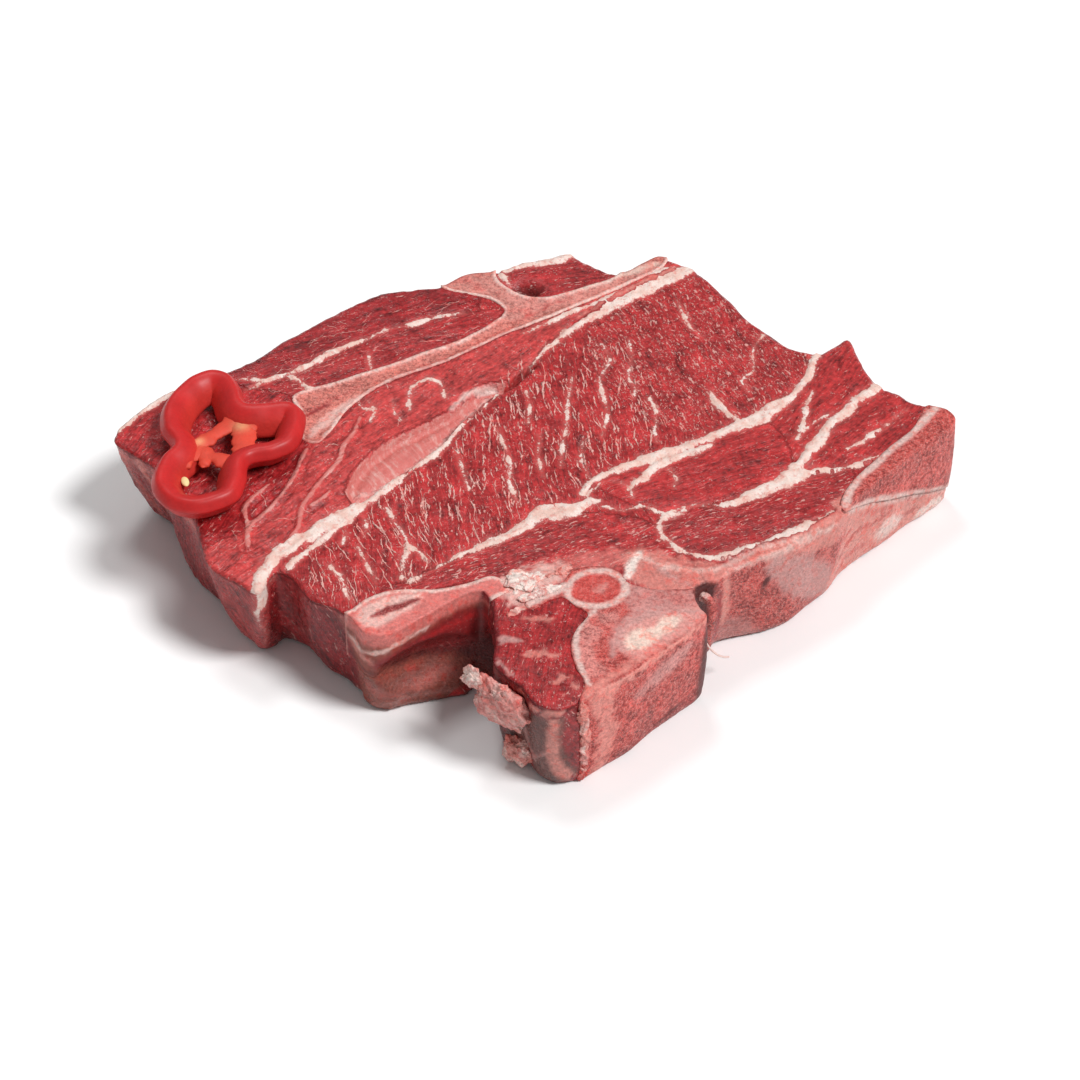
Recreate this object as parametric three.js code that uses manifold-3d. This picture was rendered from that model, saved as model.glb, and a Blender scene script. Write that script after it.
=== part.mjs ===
// Bone-in beef chuck steak, a thick sawn slab lying flat, with one slice of red pepper on it.
// Millimetres, +Z up, the flat underside on z = 0. The block with the backbone points to -Y.
// Plan points are [x, y] or [x, y, undercut]: the undercut is how far the foot of the side
// lies inside the top edge there, and it is negative where the foot stands further out.
import * as THREE from 'three';
import { mergeVertices } from 'three/addons/utils/BufferGeometryUtils.js';
import Module from 'manifold-3d';

const wasm = await Module();
wasm.setup();

// Driving dimensions
const SLAB = { height: 54, flank: 7, belly: 1.4, reliefCell: 9.5, levels: [0, 0.06, 0.36, 0.7, 0.93, 1] };
const GAP = 0.3;
const BONE = { edge: 5, overshoot: 12, ribDepth: 28, wedgeTop: 50, wedgeFall: 40 };
const PEPPER = { height: 13.5, wall: 8.5, lean: 5.5, rim: 4, step: 6, lift: 0.9, webHeight: 8, webWidth: 6 };

// Edge of the slab, clockwise from the front of the left end
const EDGE = {
  leftEnd: [
    [-164, -40, 4], [-172, -28, 4], [-179, -17, 6], [-187, -3.5, 12], [-197, 5, 15],
    [-207, 14, 16], [-203, 26, 13], [-194, 38, 8], [-186, 47, 6],
  ],
  backLeft: [
    [-170, 59, 5], [-156, 65, 5], [-141, 75, 5], [-130, 88, 5], [-120, 96, 4], [-99, 114, 4],
    [-80, 126, 4], [-60, 130, 4], [-50, 132, 4], [-38, 141, 3], [-20, 144, 3], [-8, 150, 3],
    [3, 154, 3], [16, 158, 3], [22, 152, 3], [30, 146, 3], [39, 141, 2], [46, 144, 2],
    [55, 151, 2], [62, 155, 2], [70, 151, 3], [78, 146, 3],
  ],
  backRight: [
    [85, 137, 3], [92, 126, 3], [98, 116, 3], [104, 105, 3], [116, 93, 3], [124, 84, 3],
    [132, 80, 3], [140, 79, 3], [148, 84, 3], [155, 89, 2], [159, 77, 3], [163, 63, 3],
    [169, 54, 3], [178, 48, 2], [182, 43, 2], [191, 39, 1], [200, 35, 0], [203, 29, 0],
  ],
  sawnRight: [
    [195, 19, 0], [182.5, 7.5, 1], [170, -6, 2], [158, -17.5, 3], [149, -29, 4], [141, -40, 3],
    [130, -48, 1], [120, -56, -1], [108, -64, 0], [97, -70, 3], [87, -77, 6],
  ],
  canal: [[82, -82, 4], [76, -83, 2], [71, -88, 0], [71, -95, 0], [73, -101, 0]],
  block: [
    [76, -106, 1], [66, -118, 2], [51, -131, 1], [41, -141, 0], [30, -149, 0], [20, -156, -1],
    [7, -162, 2], [-2, -158, 3], [-8, -149, 3], [-16, -141, 3], [-21, -133, 4], [-20, -122, 4],
    [-21, -110, 2], [-22, -98, -4],
  ],
  underRib: [
    [-27, -89, -12], [-40, -94, -12], [-53, -105, -4], [-61, -111, 0], [-71, -117, 2],
    [-80, -115, 3], [-86, -106, 3],
  ],
  leftFront: [
    [-94, -99, 4], [-105, -94, 7], [-116, -79, 8], [-123, -76, 8], [-130, -90, 14],
    [-139, -84, 12], [-154, -72, 14], [-159, -57, 12],
  ],
};

// Outlines of the bones on the sawn face
const BLADE = [
  [-122, 45.6], [-102, 56], [-83, 65], [-61, 77], [-41, 88], [-22, 104], [-18, 111], [-25, 120],
  [-35, 124], [-50, 130], [-56, 146], [-24, 156], [-22, 136], [-11, 124], [3, 122], [23, 130],
  [40, 140], [42, 158], [66, 166], [65, 149], [50, 136], [23, 118], [-10, 98], [-30, 85],
  [-51, 70], [-70, 60], [-83, 50], [-94, 37], [-102, 19], [-108, 10], [-116, 14], [-117, 32],
];
const RIB = [
  [-87, -101], [-80, -94], [-70, -89], [-60, -88], [-48, -88], [-34, -85], [-22, -80],
  [-14, -88], [-30, -100], [-50, -116], [-72, -130], [-90, -126], [-98, -108],
];
const VERTEBRA = [
  [-7, -97], [2, -90], [11, -83], [15, -76], [26, -73], [36, -76], [41, -84], [52, -88],
  [64, -88], [84, -88], [90, -110], [60, -146], [22, -176], [17, -160], [20, -148], [16, -137],
  [14, -124], [17, -113], [22, -104], [16, -98], [10, -93], [3, -96], [-4, -101],
];
const FEATHER = [
  [193, 42], [182, 23], [170, 10], [161, -1], [152, -12], [145, -24], [143, -33], [152, -44],
  [180, -20], [214, 22], [208, 44],
];

// Muscles that swell above the cut, and hollows in it: [x, y, length, width, turn, rise]
const SWELLS = {
  underBlade: [-108, -12, 60, 34, 52, 2.2],
  overBlade: [-66, 92, 62, 16, 29, 1.6],
  frontShoulder: [-12, 137, 30, 12, 18, 1.2],
  chest: [-14, -6, 96, 46, 42, 1.4],
  neck: [88, 96, 52, 44, 60, 1.6],
  eye: [96, -10, 52, 24, 32, 1.4],
  rightEdge: [150, 52, 52, 20, 58, 1.2],
  blockMuscle: [0, -126, 22, 30, 0, 1.2],
};
const HOLLOWS = {
  bladeValley: [-62, 22, 46, 10, 46, -5],
  valleyGap: [-12, 58, 16, 5, 46, -4],
  shoulderPit: [-9, 128, 9, 7, 0, -5],
  chestSeam: [-104, -50, 34, 7, 38, -2],
  rightHollow: [118, 0, 10, 7, 40, -1.5],
};
const LUMPS = {
  fatFlap: { at: [-17, -146, 38], half: [17, 8, 17], turn: -38 },
  fatFoot: { at: [-10, -148, 10], half: [8, 5, 9.5], turn: -30 },
};
const CHEST_BOWL = { at: [-44, -115, 27], half: [36, 17, 17], turn: 20 };

// Upper rim of the pepper slice, a wall in three lobes, and the membranes between its necks
const PEPPER_RIM = [
  [-177, -4], [-183, 8], [-184, 20], [-180, 34], [-172, 46], [-161, 51], [-152, 48], [-146, 38],
  [-142, 27], [-132, 27], [-120, 27], [-114, 21], [-113.5, 9], [-117, -4], [-126, -11],
  [-138, -15], [-139, -28], [-142, -39], [-151, -46], [-163, -49], [-175, -45], [-183, -34],
  [-184, -22], [-181, -11],
];
const WEBS = [[[-172, -2], [-149, 21]], [[-148, 20], [-148, -12]], [[-171, -7], [-149, -13]]];

const deg = THREE.MathUtils.degToRad;

// A closed smooth curve through plan points, as even counter-clockwise points {x, y, under}
function smoothOutline(points, spacing) {
  const knots = points.map(([x, y, under = 0]) => new THREE.Vector3(x, y, under));
  const curve = new THREE.CatmullRomCurve3(knots, true, 'centripetal');
  curve.arcLengthDivisions = knots.length * 24;
  const count = Math.round(curve.getLength() / spacing);
  const path = curve.getSpacedPoints(count).slice(0, count);
  const outline = path.map(({ x, y, z }) => ({ x, y, under: z }));
  return THREE.ShapeUtils.isClockWise(outline) ? outline.reverse() : outline;
}

// Outward direction at each point of a counter-clockwise outline, averaged over its neighbours
function outwards(outline, reach) {
  const n = outline.length;
  return outline.map((_, i) => {
    const before = outline[(i - reach + n) % n];
    const after = outline[(i + reach) % n];
    const along = new THREE.Vector2(after.x - before.x, after.y - before.y).normalize();
    return new THREE.Vector2(along.y, -along.x);
  });
}

// A closed solid lofted through rings of equal count, the end rings capped flat
function loft(rings) {
  const n = rings[0].length;
  const positions = rings.flat().flatMap((p) => [p.x, p.y, p.z]);
  const index = [];
  for (let r = 0; r + 1 < rings.length; r += 1) {
    for (let i = 0; i < n; i += 1) {
      const a = r * n + i;
      const b = r * n + ((i + 1) % n);
      index.push(a, b, b + n, a, b + n, a + n);
    }
  }
  const cap = (ring, base, flip) => {
    const contour = ring.map((p) => new THREE.Vector2(p.x, p.y));
    THREE.ShapeUtils.triangulateShape(contour, []).forEach(([a, b, c]) => {
      index.push(base + a, base + (flip ? c : b), base + (flip ? b : c));
    });
  };
  cap(rings[0], 0, true);
  cap(rings[rings.length - 1], (rings.length - 1) * n, false);
  const geometry = new THREE.BufferGeometry();
  geometry.setAttribute('position', new THREE.Float32BufferAttribute(positions, 3));
  geometry.setIndex(index);
  return geometry;
}

function toSolid(geometry) {
  const bare = geometry.clone();
  bare.deleteAttribute('normal');
  bare.deleteAttribute('uv');
  const welded = mergeVertices(bare, 1e-5);
  return new wasm.Manifold(new wasm.Mesh({
    numProp: 3,
    vertProperties: new Float32Array(welded.attributes.position.array),
    triVerts: new Uint32Array(welded.index.array),
  }));
}

function toGeometry(solid) {
  const mesh = solid.getMesh();
  const geometry = new THREE.BufferGeometry();
  geometry.setAttribute('position', new THREE.Float32BufferAttribute(mesh.vertProperties, 3));
  geometry.setIndex([...mesh.triVerts]);
  geometry.computeVertexNormals();
  return geometry;
}

// Upright prism over an outline grown by a margin, its foot at a height that may vary
function column(points, margin, footAt, top) {
  const outline = smoothOutline(points, BONE.edge);
  const out = outwards(outline, 1);
  const grown = outline.map((p, i) => ({ x: p.x + out[i].x * margin, y: p.y + out[i].y * margin }));
  const foot = grown.map((p) => ({ ...p, z: footAt(p) }));
  const head = grown.map((p) => ({ ...p, z: top }));
  return toSolid(loft([foot, head]));
}

// Height of the cut face: the slab height plus every swell and hollow
function cutHeight(x, y) {
  const shapes = [...Object.values(SWELLS), ...Object.values(HOLLOWS)];
  return shapes.reduce((height, [cx, cy, length, width, turn, rise]) => {
    const c = Math.cos(deg(turn));
    const s = Math.sin(deg(turn));
    const u = ((x - cx) * c + (y - cy) * s) / length;
    const v = ((y - cy) * c - (x - cx) * s) / width;
    return height + rise * Math.exp(-(u * u + v * v) * 1.4);
  }, SLAB.height);
}

// The volume under the cut face, over the whole plan
function underCutFace(box) {
  const nx = Math.ceil((box.max.x - box.min.x) / SLAB.reliefCell) + 2;
  const ny = Math.ceil((box.max.y - box.min.y) / SLAB.reliefCell) + 2;
  const width = nx * SLAB.reliefCell;
  const depth = ny * SLAB.reliefCell;
  const block = new THREE.BoxGeometry(width, depth, 1, nx, ny, 1);
  const middle = box.getCenter(new THREE.Vector3());
  block.translate(middle.x, middle.y, 0.5);
  const at = block.attributes.position;
  for (let i = 0; i < at.count; i += 1) {
    at.setZ(i, at.getZ(i) > 0.5 ? cutHeight(at.getX(i), at.getY(i)) : -SLAB.flank);
  }
  return toSolid(block);
}

// The side of the slab from its foot to above the cut face
function flank() {
  const outline = smoothOutline(Object.values(EDGE).flat(), SLAB.flank);
  const out = outwards(outline, 3);
  const ring = (t) => outline.map((p, i) => {
    const shift = p.under * (1 - t) - SLAB.belly * Math.sin(Math.PI * t);
    return { x: p.x - out[i].x * shift, y: p.y - out[i].y * shift, z: t * SLAB.height };
  });
  const rings = SLAB.levels.map(ring);
  const crown = rings[rings.length - 1].map((p) => ({ ...p, z: SLAB.height + SLAB.flank }));
  return toSolid(loft([...rings, crown]));
}

function ellipsoid({ at, half, turn }) {
  const ball = new THREE.IcosahedronGeometry(1, 2);
  ball.scale(...half).rotateZ(deg(turn)).translate(...at);
  return toSolid(ball);
}

function buildSteak() {
  const sides = flank();
  const range = sides.boundingBox();
  const box = new THREE.Box3(new THREE.Vector3(...range.min), new THREE.Vector3(...range.max));
  let steak = sides.intersect(underCutFace(box)).subtract(ellipsoid(CHEST_BOWL));
  Object.values(LUMPS).forEach((lump) => { steak = steak.add(ellipsoid(lump)); });
  return steak;
}

// Height of the underside of the right bone, falling from its thin front end to the corner
function wedgeFoot(p) {
  const start = new THREE.Vector2(148, -29);
  const corner = new THREE.Vector2(203, 29);
  const along = corner.clone().sub(start);
  const t = (p.x - start.x) * along.x + (p.y - start.y) * along.y;
  return BONE.wedgeTop - BONE.wedgeFall * (t / along.lengthSq());
}

// Section of the pepper wall, from the outer foot round to the inner foot, as [inset, height]
function pepperSection() {
  const { height, wall, lean, rim } = PEPPER;
  const inset = (z) => lean * (1 - z / height);
  return [
    [inset(0) + 1, 0], [inset(2), 2], [inset(height * 0.55) - 0.6, height * 0.55],
    [0, height - rim], [rim * 0.45, height - rim * 0.3], [wall / 2, height],
    [wall - rim * 0.4, height - rim * 0.3], [wall, height - rim], [wall + lean, 1], [wall + lean - 1, 0],
  ];
}

function pepperWall() {
  const rim = smoothOutline(PEPPER_RIM, PEPPER.step);
  const out = outwards(rim, 1);
  const section = pepperSection();
  const n = rim.length;
  const m = section.length;
  const positions = [];
  const index = [];
  rim.forEach((p, i) => {
    const next = ((i + 1) % n) * m;
    section.forEach(([inset, z], j) => {
      const k = (j + 1) % m;
      positions.push(p.x - out[i].x * inset, p.y - out[i].y * inset, z);
      index.push(i * m + j, next + j, next + k, i * m + j, next + k, i * m + k);
    });
  });
  const wall = new THREE.BufferGeometry();
  wall.setAttribute('position', new THREE.Float32BufferAttribute(positions, 3));
  wall.setIndex(index);
  return toSolid(wall);
}

function pepperWeb([from, to]) {
  const length = Math.hypot(to[0] - from[0], to[1] - from[1]);
  const web = new THREE.BoxGeometry(length, PEPPER.webWidth, PEPPER.webHeight);
  web.rotateZ(Math.atan2(to[1] - from[1], to[0] - from[0]));
  web.translate((from[0] + to[0]) / 2, (from[1] + to[1]) / 2, PEPPER.webHeight / 2);
  return toSolid(web);
}

// The slice rests on the highest of the meat beneath its wall
function buildPepper() {
  const slice = WEBS.map(pepperWeb).reduce((whole, web) => whole.add(web), pepperWall());
  const rest = Math.max(...PEPPER_RIM.map(([x, y]) => cutHeight(x, y)));
  return slice.translate([0, 0, rest + PEPPER.lift]);
}

function buildPart() {
  const steak = buildSteak();
  const footBelow = () => -BONE.overshoot;
  const ribFoot = () => SLAB.height - BONE.ribDepth;
  const top = SLAB.height + BONE.overshoot;
  const bones = {
    blade_bone: { plan: BLADE, foot: footBelow, colour: 0xb98a83 },
    rib_bone: { plan: RIB, foot: ribFoot, colour: 0xc79b92 },
    vertebra: { plan: VERTEBRA, foot: footBelow, colour: 0xb45a55 },
    feather_bone: { plan: FEATHER, foot: wedgeFoot, colour: 0xbb6f68 },
  };
  const nodes = {};
  let meat = steak;
  Object.entries(bones).forEach(([name, { plan, foot, colour }]) => {
    const solid = steak.intersect(column(plan, 0, foot, top));
    nodes[name] = { solid, colour, roughness: 0.5 };
    meat = meat.subtract(column(plan, GAP, (p) => foot(p) - GAP, top));
  });
  // The blade bone cuts one muscle off from the rest, between its two arms
  const [main, front] = meat.decompose().sort((a, b) => b.volume() - a.volume());
  nodes.meat = { solid: main, colour: 0x8e1f26, roughness: 0.42 };
  nodes.front_muscle = { solid: front, colour: 0x99222a, roughness: 0.42 };
  nodes.pepper_ring = { solid: buildPepper(), colour: 0xc01818, roughness: 0.25 };

  const part = new THREE.Group();
  part.name = 'chuck_steak';
  Object.entries(nodes).forEach(([name, { solid, colour, roughness }]) => {
    const material = new THREE.MeshStandardMaterial({ color: colour, roughness, metalness: 0 });
    const mesh = new THREE.Mesh(toGeometry(solid), material);
    mesh.name = name;
    part.add(mesh);
  });
  const middle = new THREE.Box3().setFromObject(part).getCenter(new THREE.Vector3());
  part.children.forEach((mesh) => mesh.geometry.translate(-middle.x, -middle.y, 0));
  return part;
}

export default buildPart();
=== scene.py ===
"""Raw bone-in beef chuck steak with a slice of red pepper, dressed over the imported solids.

Plan coordinates are millimetres in the steak's own plan, X along its length and Y away from the
viewer. SHIFT carries them to the frame of the solids, and every finished mesh is in metres.
"""

import logging
import math
from dataclasses import dataclass, field
from enum import Enum
from typing import Callable

import bpy
import numpy as np
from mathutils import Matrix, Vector
from mathutils.geometry import delaunay_2d_cdt


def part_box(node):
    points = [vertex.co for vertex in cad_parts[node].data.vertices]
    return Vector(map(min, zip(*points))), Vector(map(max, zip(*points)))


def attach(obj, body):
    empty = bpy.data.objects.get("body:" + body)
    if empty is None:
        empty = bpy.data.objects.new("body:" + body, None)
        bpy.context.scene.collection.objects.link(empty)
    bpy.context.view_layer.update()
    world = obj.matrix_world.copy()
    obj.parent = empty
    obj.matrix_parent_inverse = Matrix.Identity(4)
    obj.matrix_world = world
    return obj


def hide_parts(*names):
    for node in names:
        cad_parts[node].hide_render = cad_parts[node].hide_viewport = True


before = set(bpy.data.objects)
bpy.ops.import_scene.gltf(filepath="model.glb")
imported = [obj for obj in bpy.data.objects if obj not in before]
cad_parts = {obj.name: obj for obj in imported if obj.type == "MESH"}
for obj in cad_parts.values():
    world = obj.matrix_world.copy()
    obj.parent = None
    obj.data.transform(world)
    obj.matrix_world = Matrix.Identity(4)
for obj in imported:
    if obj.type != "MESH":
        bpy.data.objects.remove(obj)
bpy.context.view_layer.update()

LOG = logging.getLogger("steak")
Array = np.ndarray
Stations = list[tuple[float, ...]]

SHIFT = np.array([1.61, 2.46, 0.0])
HEIGHT = 54.0
MM = 0.001

# Edge of the slab, clockwise from the front of the left end: x, y, and how far the foot lies inside
EDGE: dict[str, Stations] = {
    "left_end": [
        (-164, -40, 4), (-172, -28, 4), (-179, -17, 6), (-187, -3.5, 12), (-197, 5, 15),
        (-207, 14, 16), (-203, 26, 13), (-194, 38, 8), (-186, 47, 6),
    ],
    "back_left": [
        (-170, 59, 5), (-156, 65, 5), (-141, 75, 5), (-130, 88, 5), (-120, 96, 4), (-99, 114, 4),
        (-80, 126, 4), (-60, 130, 4), (-50, 132, 4), (-38, 141, 3), (-20, 144, 3), (-8, 150, 3),
        (3, 154, 3), (16, 158, 3), (22, 152, 3), (30, 146, 3), (39, 141, 2), (46, 144, 2),
        (55, 151, 2), (62, 155, 2), (70, 151, 3), (78, 146, 3),
    ],
    "back_right": [
        (85, 137, 3), (92, 126, 3), (98, 116, 3), (104, 105, 3), (116, 93, 3), (124, 84, 3),
        (132, 80, 3), (140, 79, 3), (148, 84, 3), (155, 89, 2), (159, 77, 3), (163, 63, 3),
        (169, 54, 3), (178, 48, 2), (182, 43, 2), (191, 39, 1), (200, 35, 0), (203, 29, 0),
    ],
    "sawn_right": [
        (195, 19, 0), (182.5, 7.5, 1), (170, -6, 2), (158, -17.5, 3), (149, -29, 4),
        (141, -40, 3), (130, -48, 1), (120, -56, -1), (108, -64, 0), (97, -70, 3), (87, -77, 6),
    ],
    "canal": [(82, -82, 4), (76, -83, 2), (71, -88, 0), (71, -95, 0), (73, -101, 0)],
    "block": [
        (76, -106, 1), (66, -118, 2), (51, -131, 1), (41, -141, 0), (30, -149, 0),
        (20, -156, -1), (7, -162, 2), (-2, -158, 3), (-8, -149, 3), (-16, -141, 3),
        (-21, -133, 4), (-20, -122, 4), (-21, -110, 2), (-22, -98, -4),
    ],
    "under_rib": [
        (-27, -89, -12), (-40, -94, -12), (-53, -105, -4), (-61, -111, 0), (-71, -117, 2),
        (-80, -115, 3), (-86, -106, 3),
    ],
    "left_front": [
        (-94, -99, 4), (-105, -94, 7), (-116, -79, 8), (-123, -76, 8), (-130, -90, 14),
        (-139, -84, 12), (-154, -72, 14), (-159, -57, 12),
    ],
}

# Swells of the muscles and hollows in the cut face: x, y, length, width, turn, rise
SWELLS: Stations = [
    (-108, -12, 60, 34, 52, 2.2), (-66, 92, 62, 16, 29, 1.6), (-12, 137, 30, 12, 18, 1.2),
    (-14, -6, 96, 46, 42, 1.4), (88, 96, 52, 44, 60, 1.6), (96, -10, 52, 24, 32, 1.4),
    (150, 52, 52, 20, 58, 1.2), (0, -126, 22, 30, 0, 1.2),
]


class Noise:
    """Smooth gradient noise over two or three coordinates, the same on every run."""

    def __init__(self, seed: int) -> None:
        """Shuffle the lattice.

        Args:
            seed: number that picks this noise.
        """
        rng = np.random.default_rng(seed)
        self.table = np.concatenate([rng.permutation(256)] * 2)
        steps = rng.normal(size=(256, 3))
        self.slopes = steps / np.linalg.norm(steps, axis=1, keepdims=True)

    def at(self, x: Array, y: Array, z: Array | float = 0.0) -> Array:
        """Return the noise at points given in lattice units.

        Args:
            x, y, z: coordinates.

        Returns:
            Values from about -1 to 1.
        """
        x, y, z = np.broadcast_arrays(np.asarray(x, float), np.asarray(y, float), np.asarray(z, float))
        cells = [np.floor(v).astype(int) for v in (x, y, z)]
        parts = [v - c for v, c in zip((x, y, z), cells)]
        fades = [p * p * p * (p * (p * 6 - 15) + 10) for p in parts]
        total = np.zeros(x.shape)
        for corner in range(8):
            bits = [corner & 1, corner >> 1 & 1, corner >> 2 & 1]
            key = self.table[(cells[0] + bits[0]) & 255]
            key = self.table[(key + cells[1] + bits[1]) & 255]
            slope = self.slopes[self.table[(key + cells[2] + bits[2]) & 255]]
            reach = sum(slope[..., k] * (parts[k] - bits[k]) for k in range(3))
            weight = np.prod([f if b else 1 - f for f, b in zip(fades, bits)], axis=0)
            total += weight * reach
        return total * 1.6

    def layers(self, x: Array, y: Array, z: Array | float, size: float, octaves: int = 3) -> Array:
        """Return fractal noise whose coarsest swell is one size across."""
        total, scale, strength = 0.0, 1.0 / size, 1.0
        for _ in range(octaves):
            total = total + strength * self.at(x * scale, y * scale, np.asarray(z) * scale + 7.3 * strength)
            scale, strength = scale * 2.03, strength * 0.5
        return total


COARSE, MIDDLE, FINE = Noise(3), Noise(11), Noise(29)


def smooth_step(low: float, high: float, value: Array) -> Array:
    """Return 0 below low, 1 above high and a smooth rise between."""
    t = np.clip((value - low) / (high - low), 0.0, 1.0)
    return t * t * (3 - 2 * t)


def smooth_path(points: Stations, spacing: float, closed: bool) -> Array:
    """Run a centripetal curve through stations and sample it evenly.

    Args:
        points: stations, each a plan point and any further values that vary with it.
        spacing: distance between samples in plan, mm.
        closed: whether the last station joins the first.

    Returns:
        One row a sample, with as many columns as a station has.
    """
    p = np.array(points, float)
    if closed:
        p = np.vstack([p[-1:], p, p[:2]])
    else:
        p = np.vstack([2 * p[:1] - p[1:2], p, 2 * p[-1:] - p[-2:-1]])
    t = np.linspace(0, 1, 24, endpoint=False)[:, None]
    rows = []
    for a, b, c, d in zip(p, p[1:], p[2:], p[3:]):
        ab, bc, cd = (max(np.linalg.norm(v[:2]), 1e-6) ** 0.5 for v in (b - a, c - b, d - c))
        m = ((b - a) / ab - (c - a) / (ab + bc) + (c - b) / bc) * bc
        n = ((c - b) / bc - (d - b) / (bc + cd) + (d - c) / cd) * bc
        rows.append(b + m * t + (3 * (c - b) - 2 * m - n) * t**2 + (2 * (b - c) + m + n) * t**3)
    path = np.vstack(rows + [p[-2:-1]])
    walk = np.concatenate([[0], np.cumsum(np.linalg.norm(np.diff(path[:, :2], axis=0), axis=1))])
    count = max(2, round(walk[-1] / spacing))
    stops = np.linspace(0, walk[-1], count + 1)[: count if closed else None]
    return np.stack([np.interp(stops, walk, column) for column in path.T], axis=1)


def counter_clockwise(loop: Array) -> Array:
    """Return a closed loop turned counter-clockwise."""
    x, y = loop[:, 0], loop[:, 1]
    return loop if np.sum(x * np.roll(y, -1) - y * np.roll(x, -1)) > 0 else loop[::-1].copy()


def outward(loop: Array, reach: int) -> Array:
    """Return the outward unit direction at each point of a counter-clockwise loop."""
    along = np.roll(loop[:, :2], -reach, axis=0) - np.roll(loop[:, :2], reach, axis=0)
    along /= np.maximum(np.linalg.norm(along, axis=1, keepdims=True), 1e-9)
    return np.stack([along[:, 1], -along[:, 0]], axis=1)


def inside(points: Array, loop: Array) -> Array:
    """Return whether each plan point lies inside a closed loop."""
    hit = np.zeros(len(points), bool)
    x, y = points[:, 0], points[:, 1]
    for a, b in zip(loop[:, :2], np.roll(loop[:, :2], -1, axis=0)):
        span = (a[1] > y) != (b[1] > y)
        if span.any():
            cross = (b[0] - a[0]) * (y[span] - a[1]) / (b[1] - a[1]) + a[0]
            hit[span] ^= x[span] < cross
    return hit


def clearance(points: Array, path: Array, closed: bool, cap: float = 14.0) -> Array:
    """Return the distance from plan points to a path, less the path's own half width.

    Args:
        points: plan points.
        path: samples of the path, with its half width in a third column if it has one.
        closed: whether the path is a loop.
        cap: the largest distance that matters, mm.

    Returns:
        One distance a point, negative within the half width.
    """
    a = path
    b = np.roll(path, -1, axis=0) if closed else path[1:]
    a = a[: len(b)]
    wide = path.shape[1] > 2
    result = np.full(len(points), cap)
    low, high = path[:, :2].min(0) - cap, path[:, :2].max(0) + cap
    near = np.flatnonzero(((points >= low) & (points <= high)).all(axis=1))
    along = b[:, :2] - a[:, :2]
    length = np.maximum((along**2).sum(axis=1), 1e-9)
    for chunk in np.array_split(near, max(1, len(near) * len(a) // 2_000_000)):
        gap = points[chunk, None, :] - a[None, :, :2]
        t = np.clip((gap * along).sum(axis=2) / length, 0, 1)
        d = np.linalg.norm(gap - t[..., None] * along, axis=2)
        if wide:
            d = d - (a[:, 2] + t * (b[:, 2] - a[:, 2]))
        result[chunk] = np.minimum(d.min(axis=1), cap)
    return result


def signed_clearance(points: Array, loop: Array, cap: float = 14.0) -> Array:
    """Return the distance to a closed loop, negative inside it."""
    away = clearance(points, loop[:, :2], True, cap)
    return np.where(inside(points, loop), -away, away)


def lattice(loop: Array, spacing: float, margin: float) -> Array:
    """Return a triangular lattice of plan points inside a loop, clear of its edge."""
    low, high = loop[:, :2].min(0), loop[:, :2].max(0)
    rows = np.arange(low[1], high[1], spacing * 0.866)
    columns = np.arange(low[0], high[0], spacing)
    x, y = np.meshgrid(columns, rows)
    x = x + (np.arange(len(rows)) % 2 * spacing / 2)[:, None]
    points = np.stack([x.ravel(), y.ravel()], axis=1)
    points = points[inside(points, loop)]
    return points[clearance(points, loop[:, :2], True, margin * 2) > margin]


def fill_plan(loop: Array, interior: Array) -> tuple[Array, Array]:
    """Triangulate a loop and the points in it.

    Args:
        loop: the closed outline, whose points come first in the result.
        interior: points inside it.

    Returns:
        The plan points and the triangles over them.
    """
    n = len(loop)
    points = np.vstack([loop[:, :2], interior])
    edges = [(i, (i + 1) % n) for i in range(n)]
    verts, _, faces, origin, _, _ = delaunay_2d_cdt(
        [Vector(p) for p in points], edges, [list(range(n))], 1, 1e-6
    )
    back = np.array([ids[0] if ids else -1 for ids in origin])
    if (back < 0).any() or len(verts) != len(points):
        raise ValueError("the outline crosses itself")
    return points, back[np.array([list(f) for f in faces])]


def make_object(name: str, points: Array, faces: list, smooth: bool = True) -> bpy.types.Object:
    """Make a mesh object from millimetre points in the steak's plan.

    Args:
        name: name of the piece.
        points: vertices, mm.
        faces: vertex indices of each face, as lists or one array.
        smooth: whether it is shaded smooth.

    Returns:
        The object, linked to the scene.
    """
    mesh = bpy.data.meshes.new(name)
    mesh.from_pydata(((points + SHIFT) * MM).tolist(), [], faces if isinstance(faces, list) else faces.tolist())
    mesh.polygons.foreach_set("use_smooth", [smooth] * len(mesh.polygons))
    mesh.update()
    made = bpy.data.objects.new(name, mesh)
    bpy.context.collection.objects.link(made)
    return made


def write_values(piece: bpy.types.Object, values: dict[str, Array]) -> None:
    """Store named values on a mesh's vertices, one number or three numbers a vertex."""
    for name, data in values.items():
        kind = "FLOAT" if data.ndim == 1 else "FLOAT_VECTOR"
        layer = piece.data.attributes.new(name, kind, "POINT")
        layer.data.foreach_set("value" if data.ndim == 1 else "vector", data.astype(np.float32).ravel())


def finish_piece(piece: bpy.types.Object, material: bpy.types.Material, slot: str, *nodes: str) -> None:
    """Give a piece its material and its body, and hide the nodes it stands for."""
    piece.data.materials.clear()
    piece.data.materials.append(material)
    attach(piece, "root")
    if nodes:
        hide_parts(*nodes)
    LOG.info("%s: %d faces", piece.name, len(piece.data.polygons))


@dataclass(frozen=True)
class Zone:
    """One muscle as the cut shows it."""

    outline: Stations
    tone: float
    pink: float
    turn: float
    marble: float
    streak: float = 4.0


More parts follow.
